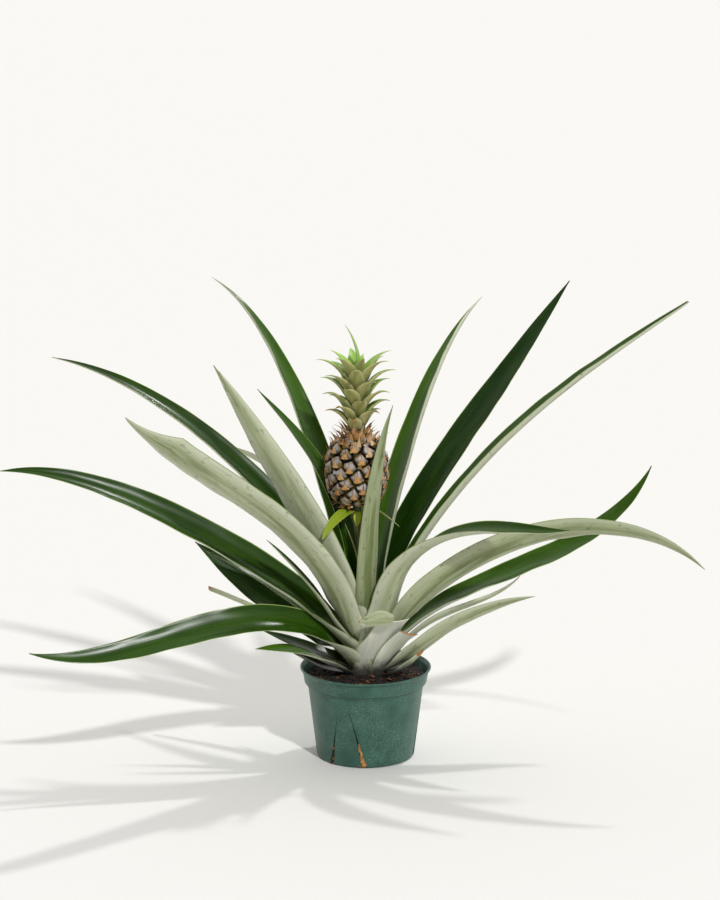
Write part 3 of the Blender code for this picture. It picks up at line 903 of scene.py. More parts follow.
@dataclass
class Rosette:
    """The long leaves, each wrapped round the stem at its foot."""

    mix_top: float
    stem_foot_radius: float
    stem_top_radius: float = 0.010
    stem_length: float = 0.084
    clasp: float = 1.25  # half angle, in radians, that a foot wraps round the stem
    clasp_clearance: float = 0.0012
    spread: float = 0.013  # how far the lowest foot is pushed out by those inside it
    spread_top: float = 0.055  # height above which the feet sit on the stem itself
    sheath: float = 0.030  # how far a leaf runs on down the stem, at most
    bury: float = 0.005  # how far the lowest sheaths go into the mix
    soil_reach: float = 0.022  # height above the mix to which the feet are darkened by peat stain and painted shade
    foot_share: float = 0.78  # a foot's width, as a share of its leaf's
    flare_share: float = 0.50  # how much the sheath adds to it
    flare_limit: float = 0.3  # the most it can add, as a share of the leaf's length
    flare_reach: float = 0.8  # share of a short leaf's length over which that narrows again
    free_length: float = 0.040  # the length over which a foot opens out into the blade
    free_limit: float = 0.7  # and the most of a short leaf that this takes
    folded_tip: tuple[float, float, float] = (0.034, -0.056, 0.084)  # where a leaf's tip is folded over
    stations: int = 72
    across: int = 14

    def stem_radius_at(self, height: float) -> float:
        """The stem's radius at a height above the mix."""
        return between((self.stem_foot_radius, self.stem_top_radius), min(height / self.stem_length, 1.0))

    def build(self) -> None:
        """Make each leaf as a piece of its own."""
        soil = self.mix_top + self.soil_reach
        faces = [
            LeafUpperFinish(soil_height=soil).build("leaf_cuticle"),
            LeafLowerFinish(soil_height=soil).build("leaf_scurf"),
        ]
        for number, row in enumerate(LEAVES, start=1):
            radius = self.stem_radius_at(row.height)
            foot_width = row.width * self.foot_share
            flare = min(row.width * self.flare_share, row.length * self.flare_limit)
            spread = row.spread + self.spread * max(1 - row.height / self.spread_top, 0.0)
            seat = radius + self.clasp_clearance + spread
            blade = replace(
                row,
                foot_width=foot_width,
                flare=flare,
                flare_length=min(row.flare_length, row.length * self.flare_reach),
                free_at=max(row.free_at, min(self.free_length / row.length, self.free_limit)),
                foot_cup=min(self.clasp, (foot_width + flare) / 2 / seat),
                spread=spread,
                sheath=min(self.sheath, row.height + self.bury),
                seed=number * 1.37,
            )
            foot = outward(row.heading[0]) * (radius + self.clasp_clearance)
            foot.z = self.mix_top + row.height
            shape = new_shape()
            blade.build_into(shape, foot, self.stations, self.across)
            name = f"leaf_{number:02d}"
            new_piece(f"strap_{name}", shape, faces, (name,))
        shape = new_shape()
        flap = Blade(
            0.0, (180, 176), (4, -4, -8, -12), 0.043, 0.020, (0.3, 0.3), (88, 88),
            foot_width=0.005, foot_cup=0.3, full_at=0.40, free_at=0.01, taper_power=1.4, dry=0.06,
            vigour=0.9, white=-0.2, seed=71.0, thickness=0.0012,
        )
        x, y, above = self.folded_tip
        flap.build_into(shape, Vector((x, y, self.mix_top + above)), 24, 8)
        new_piece("folded_tip", shape, faces)


@dataclass(frozen=True)
class Fringe:
    """Ragged dry scales round one end of the fruit, each shaped by chance within limits."""

    count: int
    first_heading: float
    start: tuple[float, float]  # limits of the rise at the foot
    bend: tuple[float, float]  # what the rises at a third and at two thirds add to it
    end: tuple[float, float]  # limits of what the rise at the tip adds to it
    length: tuple[float, float]
    width: tuple[float, float]
    dry: float  # the most that is dark at the tip
    pale: float  # the most that a scale is bleached
    seed_step: float
    pattern: Blade  # what they have in common
    swing: float = 30.0  # how far a tip turns from its foot's heading, at most

    def blades(self, dice: random.Random) -> Iterator[Blade]:
        """Shape each scale.

        Args:
            dice: the source of chance.

        Yields:
            The scales, a golden angle apart.
        """
        for i in range(self.count):
            heading = i * GOLDEN_ANGLE + self.first_heading
            start = dice.uniform(*self.start)
            yield replace(
                self.pattern,
                heading=(heading, heading + dice.uniform(-self.swing, self.swing)),
                rise=(start, start + self.bend[0], start + self.bend[1], start + dice.uniform(*self.end)),
                length=dice.uniform(*self.length),
                width=dice.uniform(*self.width),
                seed=i * self.seed_step,
                dry=dice.uniform(0.0, self.dry),
                vigour=dice.uniform(0.0, self.pale),
            )


@dataclass
class Fruit:
    """A small pineapple: a barrel covered in many-sided eyes, each with a dry pointed scale."""

    foot: Vector
    radius: float
    height: float
    neck: float  # height of the ragged scales above the eyes
    end_radius: float = 0.014
    squareness: float = 2.6
    eye_spacing: float = 0.0152
    seam: float = 0.0004
    stray: float = 0.0011  # how far an eye strays from its place in the pattern
    eye_height: float = 0.0032
    core_inset: float = 0.0020
    dome: tuple[tuple[float, float], ...] = (
        (0.0002, 0.0008), (0.0007, 0.0012), (0.0013, 0.0008), (0.0016, 0.0004),
    )  # how far in and out each round of an eye stands from the one before
    rings: int = 60
    eye_sides: int = 18
    eye_blank: float = 0.66  # radius of an untrimmed eye, in spacings
    eye_search: float = 2.1  # how far off a neighbour can trim it, in spacings
    eye_root: float = 1.5  # how deep in the core an eye starts, in insets
    eye_lift: float = 0.0004  # how far its rim and its middle stand up
    core_tail: float = 0.005  # how far the core runs on below the eyes
    # What the scales have in common: chance gives each its headings, its length and its width.
    scale: Blade = Blade(
        0.0, (0, 0), (70, 84, 90, 90), 0.0155, 0.0108, (0.20, 0.45), foot_width=0.0095, foot_cup=0.25,
        thickness=0.0008, full_at=0.12, free_at=0.1, taper_power=0.6, tip_power=1.9, tip_width=0.0006,
        ripple=0.0008,
    )
    scale_swing: float = 12.0  # how far a scale turns from its eye's heading
    scale_tip: tuple[float, float] = (35, 105)  # limits of its point's lean
    scale_length: tuple[float, float] = (0.0135, 0.0175)
    scale_width: tuple[float, float] = (0.0095, 0.0120)
    scale_drop: float = 0.0060  # how far below the eye's middle it starts
    frond_rise: tuple[float, float] = (15, 60)
    frond_length: tuple[float, float] = (0.0070, 0.0100)
    frond_width: float = 0.0034
    top_fringe: Fringe = Fringe(
        count=60, first_heading=0.0, start=(20, 75), bend=(15, 10), end=(-90, 30), length=(0.013, 0.022),
        width=(0.0055, 0.0090), dry=0.4, pale=1.0, seed_step=2.3,
        pattern=Blade(
            0.0, (0, 0), (0, 0, 0, 0), 0.02, 0.007, (0.6, 0.8), foot_width=0.006, foot_cup=0.5,
            thickness=0.0007, full_at=0.25, taper_power=1.0, tip_power=1.4, tip_width=0.0005, ripple=0.0012,
        ),
    )
    foot_fringe: Fringe = Fringe(
        count=18, first_heading=40.0, start=(-40, 0), bend=(-10, 20), end=(60, 160), length=(0.013, 0.021),
        width=(0.0050, 0.0070), dry=0.2, pale=0.6, seed_step=3.1,
        pattern=Blade(
            0.0, (0, 0), (0, 0, 0, 0), 0.02, 0.006, (0.5, 0.7), foot_width=0.005, foot_cup=0.4,
            thickness=0.0007, full_at=0.3, taper_power=1.2, tip_power=1.2, tip_width=0.0005, ripple=0.001,
        ),
    )
    seed: int = 5

    def radius_at(self, level: float) -> float:
        """The barrel's radius at a share of its height."""
        swell = max(1 - abs(2 * level - 1) ** self.squareness, 0.0) ** 0.5
        return between((self.end_radius, self.radius), swell)

    def point_at(self, level: float, heading: float, inset: float = 0.0) -> Vector:
        """A point of the barrel's side."""
        point = outward(heading) * (self.radius_at(level) - inset)
        return self.foot + point + UP * self.height * level

    def eyes(self) -> list[tuple[float, float]]:
        """Where the eyes sit: a golden angle apart, and evenly by area.

        Returns:
            The (share of the height, heading) of each.
        """
        levels = [i / self.rings for i in range(self.rings + 1)]
        areas = [0.0]
        for low, high in zip(levels, levels[1:]):
            rise = (high - low) * self.height
            slope = self.radius_at(high) - self.radius_at(low)
            mean = (self.radius_at(high) + self.radius_at(low)) / 2
            areas.append(areas[-1] + 2 * math.pi * mean * math.hypot(rise, slope))
        count = round(areas[-1] / (self.eye_spacing**2 * math.sqrt(3) / 2))
        found = []
        dice = random.Random(self.seed)
        for i in range(count):
            wanted = (i + 0.5) / count * areas[-1]
            row = max(j for j, area in enumerate(areas) if area <= wanted)
            part = (wanted - areas[row]) / (areas[row + 1] - areas[row])
            level = between((levels[row], levels[row + 1]), part)
            level += dice.uniform(-1, 1) * self.stray / self.height
            heading = i * GOLDEN_ANGLE + math.degrees(dice.uniform(-1, 1) * self.stray / self.radius)
            found.append((min(max(level, 0.0), 1.0), heading))
        return found

    def normal_at(self, level: float, heading: float) -> Vector:
        """The outward direction of the barrel's skin."""
        step = 0.5 / self.rings
        low, high = max(level - step, 0.0), min(level + step, 1.0)
        slope = (self.radius_at(high) - self.radius_at(low)) / ((high - low) * self.height)
        return (outward(heading) - UP * slope).normalized()

    def build(self) -> None:
        """Make the eyes and their core as one piece, and the scales as others."""
        shape = new_shape()
        profile = [(0.0, self.core_inset)]
        for i in range(self.rings + 1):
            level = i / self.rings
            height = between((self.core_inset, self.height - self.core_inset), level)
            profile.append((self.radius_at(level) - self.core_inset, height))
        profile.append((self.end_radius, self.height + self.neck))
        profile.append((0.0, self.height + self.neck))
        profile[0:1] = [(0.0, -self.core_tail), (self.end_radius * 0.9, -self.core_tail)]
        turned(shape, profile, 48)
        bmesh.ops.translate(shape, verts=shape.verts, vec=self.foot)
        eyes = self.eyes()
        places = [self.point_at(level, heading) for level, heading in eyes]
        for i, (level, heading) in enumerate(eyes):
            self.add_eye(shape, i, places, self.normal_at(level, heading))
        new_piece("fruit_eyes", shape, [EyeFinish().build("fruit_skin")], ("fruit",), 50.0)
        self.build_scales(eyes)

    def add_eye(self, shape: BMesh, number: int, places: list[Vector], normal: Vector) -> None:
        """Add one eye: a disc trimmed half way to each neighbour, then raised into a low dome.

        Args:
            shape: the fruit's bmesh.
            number: the eye's number.
            places: every eye's place.
            normal: the way it faces.
        """
        layers = shape.verts.layers.float_vector
        centre = places[number]
        seat = centre - normal * self.core_inset * self.eye_root
        turn = normal.to_track_quat("Z", "Y").to_matrix().to_4x4()
        made = bmesh.ops.create_circle(
            shape, cap_ends=True, radius=self.eye_spacing * self.eye_blank, segments=self.eye_sides,
            matrix=Matrix.Translation(seat) @ turn,
        )["verts"]
        face = next(iter(made[0].link_faces))
        for other, place in enumerate(places):
            toward = place - centre
            if other == number or toward.length > self.eye_spacing * self.eye_search:
                continue
            toward.normalize()
            middle = (place + centre) / 2 - toward * self.seam / 2
            cut = bmesh.ops.bisect_plane(
                shape, geom=[*face.verts, *face.edges, face], plane_co=middle, plane_no=toward,
                clear_outer=True,
            )
            left = [g for g in cut["geom"] if isinstance(g, bmesh.types.BMFace)]
            if not left:
                return
            face = left[0]
        if face.normal.dot(normal) < 0:
            bmesh.ops.reverse_faces(shape, faces=[face])
        raised = bmesh.ops.extrude_face_region(shape, geom=[face], use_keep_orig=True)["geom"]
        bmesh.ops.reverse_faces(shape, faces=[face])
        top = [g for g in raised if isinstance(g, bmesh.types.BMVert)]
        bmesh.ops.translate(shape, verts=top, vec=normal * (self.core_inset * self.eye_root + self.eye_lift))
        dome = next(g for g in raised if isinstance(g, bmesh.types.BMFace))
        rounds = [dome]
        for inset, lift in self.dome:
            rounds += bmesh.ops.inset_individual(shape, faces=[dome], thickness=inset, depth=lift)["faces"]
        hub = bmesh.ops.poke(shape, faces=[dome], offset=self.eye_lift)["verts"]
        side = UP.cross(normal).normalized()
        skin = {v for f in rounds if f.is_valid for v in f.verts} | set(hub) | set(top)
        for point in skin:
            offset = point.co - centre
            point[layers["place"]] = (offset.dot(side), offset.dot(normal.cross(side)), number * 0.37)
            point[layers["spot"]] = (offset.dot(normal) / self.eye_height, 0.0, 0.0)

    def build_scales(self, eyes: list[tuple[float, float]]) -> None:
        """Make the eyes' pointed scales, and the ragged ones at both ends of the fruit.

        Args:
            eyes: the (share of the height, heading) of each eye.
        """
        dice = random.Random(self.seed)
        dry = DryScaleFinish().build("dry_scale")
        shape = new_shape()
        for i, (level, heading) in enumerate(eyes):
            normal = self.normal_at(level, heading)
            lean = math.degrees(math.asin(max(-1.0, min(1.0, normal.z))))
            turn = heading + dice.uniform(-self.scale_swing, self.scale_swing)
            uphill = UP.cross(normal).normalized().cross(-normal)
            blade = replace(
                self.scale,
                heading=(turn, turn),
                rise=(*(lean + rise for rise in self.scale.rise[:3]), lean + dice.uniform(*self.scale_tip)),
                length=dice.uniform(*self.scale_length),
                width=dice.uniform(*self.scale_width),
                seed=i * 1.9,
                dry=dice.uniform(0.0, 0.35),
                vigour=dice.uniform(0.0, 1.0),
            )
            foot = self.point_at(level, heading) + normal * self.eye_height * 1.02
            foot -= uphill * self.scale_drop
            blade.build_into(shape, foot, 8, 4)
            for hand in (-90, 90):
                rise = dice.uniform(*self.frond_rise)
                frond = replace(
                    blade,
                    heading=(turn + hand, turn + hand * dice.uniform(0.6, 0.9)),
                    rise=(rise, rise + 10, rise + 20, rise + 30),
                    length=dice.uniform(*self.frond_length),
                    width=self.frond_width,
                    foot_width=self.frond_width,
                    roll=(hand, hand),
                    seed=i * 1.9 + hand,
                )
                frond.build_into(shape, foot + normal * 0.0003, 5, 2)
        new_piece("eye_scales", shape, [dry, dry])
        shape = new_shape()
        for i, blade in enumerate(self.top_fringe.blades(dice)):
            share = i / self.top_fringe.count
            foot = self.point_at(between((0.90, 1.0), min(share * 2, 1.0)), blade.heading[0], 0.001)
            foot += UP * self.neck * max(2 * share - 1, 0.0)
            blade.build_into(shape, foot, 10, 3)
        for blade in self.foot_fringe.blades(dice):
            blade.build_into(shape, self.point_at(0.012, blade.heading[0], 0.002), 10, 3)
        new_piece("ragged_scales", shape, [dry, dry])


@dataclass
class Crown:
    """The tuft of short stiff leaves on the fruit, broad as scales below and longer above."""

    foot: Vector
    core_radius: float
    core_height: float
    core_top_radius: float = 0.0035
    count: int = 32
    first_heading: float = 262.0
    leaf_length: tuple[float, float] = (0.034, 0.060)
    leaf_width: tuple[float, float] = (0.0175, 0.0215)
    foot_rise: tuple[float, float] = (52.0, 62.0)
    tip_rise: tuple[float, float] = (-32.0, 4.0)
    bend: tuple[float, float, float, float] = (0.0, 0.03, 0.36, 1.0)  # share of its turn at each third
    heart: float = 0.80  # share of the leaves above which they stand up in the middle
    heart_rise: float = 12.0
    heart_shrink: float = 0.58
    tiers: int = 5

    def blade(self, number: int) -> Blade:
        """One leaf of the crown.

        Args:
            number: its number, from the lowest.

        Returns:
            The leaf.
        """
        share = number / self.count
        heading = self.first_heading + GOLDEN_ANGLE * number
        heart = eased((share - self.heart) / (1 - self.heart))
        lift = self.heart_rise * heart
        rises = (between(self.foot_rise, share) + lift, between(self.tip_rise, share) + 2 * lift)
        width = between(self.leaf_width, math.sin(math.pi * min(share, 1.0)))
        return Blade(
            0.001 + (self.core_height - 0.004) * share,
            (heading, heading),
            tuple(between(rises, bend) for bend in self.bend),
            between(self.leaf_length, min(share * 1.4, 1.0)) * (1 - self.heart_shrink * heart),
            width,
            (0.95, 0.6), foot_width=width * 0.75, foot_cup=1.0, thickness=0.0018, full_at=0.36,
            taper_power=1.5, tip_power=1.5, tip_width=0.0006, ripple=0.0004, seed=number * 0.73,
            vigour=between((0.15, 0.95), share**2), dry=max(0.0, 0.26 - 0.5 * share),
        )

    def build(self) -> None:
        """Make the crown in tiers, its top leaf and its core."""
        upper = LeafUpperFinish(deep="5f8426", fresh="9cc45c", roughness=0.4, vein=(0.0008, 0.110))
        lower = LeafLowerFinish(
            scurf="b0ab6c", white="c6c488", olive="959648", spots="857a3c", margin="c0b070",
            line=(0.0006, 0.02), streak=(0.004, 0.03), roughness=0.5,
        )
        faces = [upper.build("crown_leaf_upper"), lower.build("crown_leaf_lower")]
        per_tier = math.ceil(self.count / self.tiers)
        for tier in range(self.tiers):
            shape = new_shape()
            for number in range(tier * per_tier, min((tier + 1) * per_tier, self.count)):
                blade = self.blade(number)
                share = blade.height / self.core_height
                radius = between((self.core_radius, self.core_top_radius), share)
                foot = self.foot + outward(blade.heading[0]) * radius + UP * blade.height
                blade.build_into(shape, foot, 16, 8)
            stands_for = tuple(f"crown_leaf_{i:02d}" for i in range(tier * 4 + 1, min(tier * 4 + 5, 20)))
            new_piece(f"crown_tier_{tier + 1}", shape, faces, stands_for)
        shape = new_shape()
        spike = Blade(
            0.0, (150, 176), (86, 82, 70, 52), 0.066, 0.010, (0.6, 0.5), foot_width=0.008, foot_cup=0.8,
            thickness=0.0014, ripple=0.0003, vigour=0.6, seed=88.0,
        )
        foot = self.foot + outward(20) * self.core_top_radius + UP * (self.core_height - 0.006)
        spike.build_into(shape, foot, 24, 6)
        new_piece("crown_top_leaf", shape, faces, ("crown_spike",))
        coat("crown_core", StemFinish(green="6f7c3a").build("crown_core"))


@dataclass
class Stalk:
    """The stem and the fruit's stalk, with the fresh bracts under the fruit."""

    foot: Vector
    top: Vector
    radius: float = 0.0052

    def point_at(self, share: float) -> Vector:
        """A point on the stalk's middle line: upright at both ends, with an easy lean between."""
        point = self.foot.lerp(self.top, share)
        point.x = between((self.foot.x, self.top.x), eased(share))
        return point

    def build(self) -> None:
        """Dress the stem and the stalk, and make the bracts."""
        green = StemFinish().build("stalk_skin")
        for name in ("stem", "fruit_stalk"):
            coat(name, green)
        fresh = LeafUpperFinish(deep="6f8a1c", fresh="b7c63c", margin="c9cf6a", foot="c8cc86", roughness=0.4)
        under = LeafLowerFinish(
            scurf="bcc65c", olive="8fa030", spots="7f9030", margin="c9cf6a", line=(0.0010, 0.02),
            roughness=0.5,
        )
        faces = [fresh.build("bract_upper"), under.build("bract_lower")]
        rows = {
            "bract_left": Blade(
                0.965, (237, 240), (2, -10, -24, -44), 0.074, 0.014, (0.4, 0.4), (-20, -20), 0.1
            ),
            "bract_right": Blade(0.985, (350, 350), (0, -25, -35, -38), 0.052, 0.009, (0.3, 0.3), (-30, -30)),
            "bract_front": Blade(
                0.940, (275, 262), (-35, -70, -60, -20), 0.020, 0.009, (0.4, 0.3), vigour=1.0
            ),
            "stalk_leaf": Blade(0.420, (190, 185), (84, 74, 70, 66), 0.052, 0.009, (0.5, 0.4)),
        }
        for number, (name, row) in enumerate(rows.items()):
            blade = replace(
                row, foot_width=row.width * 0.8, foot_cup=0.7, thickness=0.0010, ripple=0.0006,
                seed=number + 50.0,
            )
            foot = self.point_at(row.height) + outward(row.heading[0]) * (self.radius + 0.0004)
            shape = new_shape()
            blade.build_into(shape, foot, 20, 8)
            new_piece(f"fresh_{name}", shape, faces, (name,))


@dataclass
class Split:
    """A split in the pot's wall, open at the foot and closing to a hairline above."""

    heading: tuple[float, float]  # at the foot and at the top
    height: float
    width: float
    seed: float
    narrowing: float = 2.2
    jag: float = 0.0006  # how far its edges stray
    hairline: float = 0.00012  # half its width at the top
    steps: int = 22

    def cutter(self, pot: "Pot") -> Object:
        """Make the wedge that cuts it.

        Args:
            pot: the pot, for its wall.

        Returns:
            The cutter.
        """
        shape = bmesh.new()
        bmesh.ops.create_cube(shape, size=1.0)
        upright = [e for e in shape.edges if abs((e.verts[0].co - e.verts[1].co).z) > 0.5]
        bmesh.ops.subdivide_edges(shape, edges=upright, cuts=self.steps, use_grid_fill=True)
        for point in shape.verts:
            share = point.co.z + 0.5
            depth, side = point.co.x, point.co.y * 2
            height = between((-pot.wall, self.height), share)
            jag = noise.noise(Vector((share * 9, side * 0.3, self.seed))) * self.jag
            half = self.width / 2 * (1 - share) ** self.narrowing + self.hairline
            radius = pot.radius_at(max(height, 0.0)) + depth * pot.foot_round * 4
            turn = between(self.heading, share)
            point.co = outward(turn) * radius + outward(turn + 90) * (side * half + jag)
            point.co.z = height
        bmesh.ops.recalc_face_normals(shape, faces=shape.faces)
        return new_object("split_cutter", shape)


@dataclass
class Pot:
    """The thin moulded pot, with its stepped lip, drainage holes and splits."""

    height: float
    rim_radius: float
    base_radius: float = 0.058
    body_top_radius: float = 0.0685
    wall: float = 0.0014
    lip_height: float = 0.019
    lip_step: float = 0.0035
    foot_round: float = 0.004
    bead: float = 0.0026
    bead_height: float = 0.0045
    turns: int = 160
    drain_holes: int = 6
    drain_radius: float = 0.005
    drain_ring: float = 0.036
    drain_first: float = 24.0
    splits: tuple[Split, ...] = (
        Split((227.0, 241.0), 0.070, 0.0058, 3.0),
        Split((269.0, 252.0), 0.074, 0.0064, 8.0),
        Split((345.0, 352.0), 0.084, 0.0060, 5.0, 0.8),
    )

    def radius_at(self, height: float) -> float:
        """The outside radius of the tapering body."""
        return between((self.base_radius, self.body_top_radius), height / (self.height - self.lip_height))

    def profile(self) -> list[tuple[float, float]]:
        """The wall's section, from the underside's middle round to the inside's."""
        shoulder = self.height - self.lip_height
        lip_foot = self.body_top_radius + self.lip_step
        lip_top = self.rim_radius - self.bead
        wall = self.wall
        corners = [
            (0.0, 0.0, 0.0),
            (self.base_radius - 0.0005, 0.0, self.foot_round * 0.8),
            (self.body_top_radius - 0.0006, shoulder - 0.0040, 0.0010),
            (self.body_top_radius + 0.0008, shoulder - 0.0028, 0.0008),
            (self.body_top_radius + 0.0008, shoulder, 0.0006),
            (lip_foot, shoulder + 0.0006, 0.0012),
            (lip_top, self.height - self.bead_height, 0.0020),
            (self.rim_radius, self.height - 0.0022, 0.0008),
            (self.rim_radius, self.height, 0.0006),
            (self.rim_radius - wall * 1.2, self.height, 0.0006),
            (lip_top - wall, self.height - self.bead_height, 0.0020),
            (lip_foot - wall, shoulder + wall + 0.0006, 0.0010),
            (self.body_top_radius - wall, shoulder + wall, 0.0006),
            (self.base_radius - wall, wall, self.foot_round * 0.6),
            (0.0, wall, 0.0),
        ]
        return filleted(corners)

    def build(self) -> None:
        """Turn the shell, bore it and split it."""
        shape = bmesh.new()
        turned(shape, self.profile(), self.turns)
        blank = new_object("pot_blank", shape)
        cutters = [split.cutter(self) for split in self.splits]
        for i in range(self.drain_holes):
            bore = bmesh.new()
            place = outward(self.drain_first + 360 * i / self.drain_holes) * self.drain_ring
            bmesh.ops.create_cone(
                bore, cap_ends=True, segments=32, radius1=self.drain_radius, radius2=self.drain_radius,
                depth=self.wall * 4, matrix=Matrix.Translation(place),
            )
            cutters.append(new_object("drain_cutter", bore))
        for cutter in cutters:
            cut = blank.modifiers.new("cut", "BOOLEAN")
            cut.object = cutter
            cut.operation = "DIFFERENCE"
            cut.solver = "MANIFOLD"
        bpy.context.view_layer.update()
        whole = blank.evaluated_get(bpy.context.evaluated_depsgraph_get())
        shape = bmesh.new()
        shape.from_mesh(whole.to_mesh())
        whole.to_mesh_clear()
        for thing in [blank, *cutters]:
            bpy.data.objects.remove(thing, do_unlink=True)
        new_piece("nursery_pot", shape, [PotFinish().build("pot_plastic")], ("pot",), 35.0)


@dataclass
class PottingMix:
    """The mix in the pot: a crumbly bed with loose bark on it and bark showing in the splits."""

    top: float
    radius: float
    pot: Pot
    mound: float = 0.006  # how high the mix is heaped round the stem
    mound_radius: float = 0.036
    rings: int = 44
    turns: int = 132
    lump: float = 0.011  # size of its lumps
    lump_height: float = 0.0016
    crumb: float = 0.0032
    crumb_height: float = 0.0011
    hollow: float = 0.0009  # how far gaps between crumbs go in from the pot's wall
    chips: int = 640
    chip_size: tuple[float, float] = (0.0016, 0.0058)
    clear_radius: float = 0.014  # the stem's foot, where no bark lies
    old_tone: tuple[float, float] = (-0.35, -0.1)
    fresh_tone: tuple[float, float] = (0.05, 0.30)
    split_chips: int = 7
    split_share: float = 0.44  # how far up a split they show
    # How light the pieces in each of the first two splits are.
    split_tones: tuple[tuple[float, float, float], ...] = ((-0.42, -0.30, 0.2), (0.35, 0.6, 0.5))
    # Heading and size of the pieces that lie at the splits' feet.
    fallen: tuple[tuple[float, float], ...] = ((263.0, 0.0042), (266.0, 0.0030), (229.0, 0.0034))
    fresh_share: float = 0.20  # how many of the chips show torn, orange bark
    seed: int = 11

    def build(self) -> None:
        """Make the bed and the bark."""
        pot = self.pot
        inner = pot.wall + 0.0008
        shoulder = pot.height - pot.lip_height
        profile = [(0.0, inner), (pot.base_radius - inner - 0.003, inner)]
        profile += [(pot.radius_at(h) - inner, h) for h in (0.006 + 0.004 * i for i in range(21))]
        profile += [(pot.body_top_radius - inner, shoulder), (self.radius + 0.0015, shoulder + 0.0045)]
        profile += [(self.radius + 0.0015, self.top - 0.0015)]
        profile += [(self.radius * (1 - i / self.rings), self.top) for i in range(self.rings)]
        profile += [(0.0, self.top)]
        shape = new_shape()
        turned(shape, profile, self.turns)
        wear = shape.verts.layers.float_vector["wear"]
        for point in shape.verts:
            lumps = noise.noise(point.co / self.lump)
            crumbs = noise.noise(point.co / self.crumb)
            if point.co.z > self.top - 0.001:
                uneven = self.lump_height * lumps + self.crumb_height * crumbs
                point.co.z += uneven + self.heap_at(point.co)
            elif point.co.z > pot.foot_round:
                level = Vector((point.co.x, point.co.y, 0.0)).normalized()
                point.co -= level * self.hollow * abs(crumbs)
            point[wear] = (0.10 + 0.15 * crumbs, 0.0, 0.0)
        new_piece("mix_bed", shape, [MixFinish().build("potting_mix")], ("potting_mix",), 80.0)
        self.build_bark()

    def heap_at(self, place: Vector) -> float:
        """How much higher the mix stands at a place than at the pot's wall."""
        reach = math.hypot(place.x, place.y)
        return self.mound * (1 - eased((reach - self.mound_radius / 3) / self.mound_radius))

    def build_bark(self) -> None:
        """Strew the bark chips on the bed, and stand the pieces that show in the splits."""
        dice = random.Random(self.seed)
        bark = MixFinish(dark="2a180c", middle="6e4422", light="c08a50", crumb=0.0016, roughness=0.85)
        shape = new_shape()
        for _ in range(self.chips):
            heading = dice.uniform(0, 360)
            reach = math.sqrt(dice.uniform(self.clear_radius**2, (self.radius - 0.002) ** 2))
            size = dice.uniform(*self.chip_size)
            centre = outward(heading) * reach
            centre.z = self.top + self.heap_at(centre) + dice.uniform(-0.0006, 0.0018)
            sides = (size, size * dice.uniform(0.35, 0.7), size * dice.uniform(0.15, 0.35))
            tone = dice.uniform(*(self.fresh_tone if dice.random() < self.fresh_share else self.old_tone))
            self.add_chip(shape, dice, centre, sides, tone)
        pot = self.pot
        for split, tones in zip(pot.splits, self.split_tones):
            for i in range(self.split_chips):
                share = self.split_share * i / self.split_chips
                height = max(share * split.height, 0.0052)
                turn = between(split.heading, share) + dice.uniform(-0.7, 0.7)
                reach = pot.radius_at(height) - pot.wall * dice.uniform(0.7, 1.3)
                sides = (split.width * (1 - share) ** split.narrowing, 0.0026, 0.0070)
                place = outward(turn) * reach + UP * height
                self.add_chip(shape, dice, place, sides, tones[i % len(tones)], turn)
        for turn, size in self.fallen:
            place = outward(turn) * (pot.base_radius - 0.0014) + UP * size * 0.62
            self.add_chip(shape, dice, place, (size, size * 0.7, size * 0.6), 0.35, turn)
        new_piece("bark_chips", shape, [bark.build("bark")], (), 30.0)

    def add_chip(
        self,
        shape: BMesh,
        dice: random.Random,
        centre: Vector,
        sides: tuple[float, float, float],
        tone: float,
        facing: float | None = None,
    ) -> None:
        """Add one torn chip of bark.

        Args:
            shape: the bark's bmesh.
            dice: the source of chance.
            centre: where it lies.
            sides: its length, width and thickness.
            tone: how light it is.
            facing: the heading that its flat side faces, or none for one that lies as it fell.
        """
        wear = shape.verts.layers.float_vector["wear"]
        loose = facing is None
        turn = Matrix.Rotation(dice.uniform(0, math.tau) if loose else math.radians(facing + 90), 4, "Z")
        lean = (0.5, 0.4) if loose else (0.12, 0.12)
        tilt = Matrix.Rotation(dice.uniform(-lean[0], lean[0]), 4, "X")
        tilt = tilt @ Matrix.Rotation(dice.uniform(-lean[1], lean[1]), 4, "Y")
        scale = Matrix.Diagonal((*sides, 1.0))
        made = bmesh.ops.create_icosphere(
            shape, subdivisions=1, radius=0.62, matrix=Matrix.Translation(centre) @ turn @ tilt @ scale
        )["verts"]
        for point in made:
            point.co += Vector([dice.uniform(-0.18, 0.18) * sides[1] for _ in range(3)])
            point[wear] = (tone, 0.0, 0.0)


class LightKind(Enum):
    """Which way a light reaches the plant."""

    BACK = "back"
    FRONT = "front"


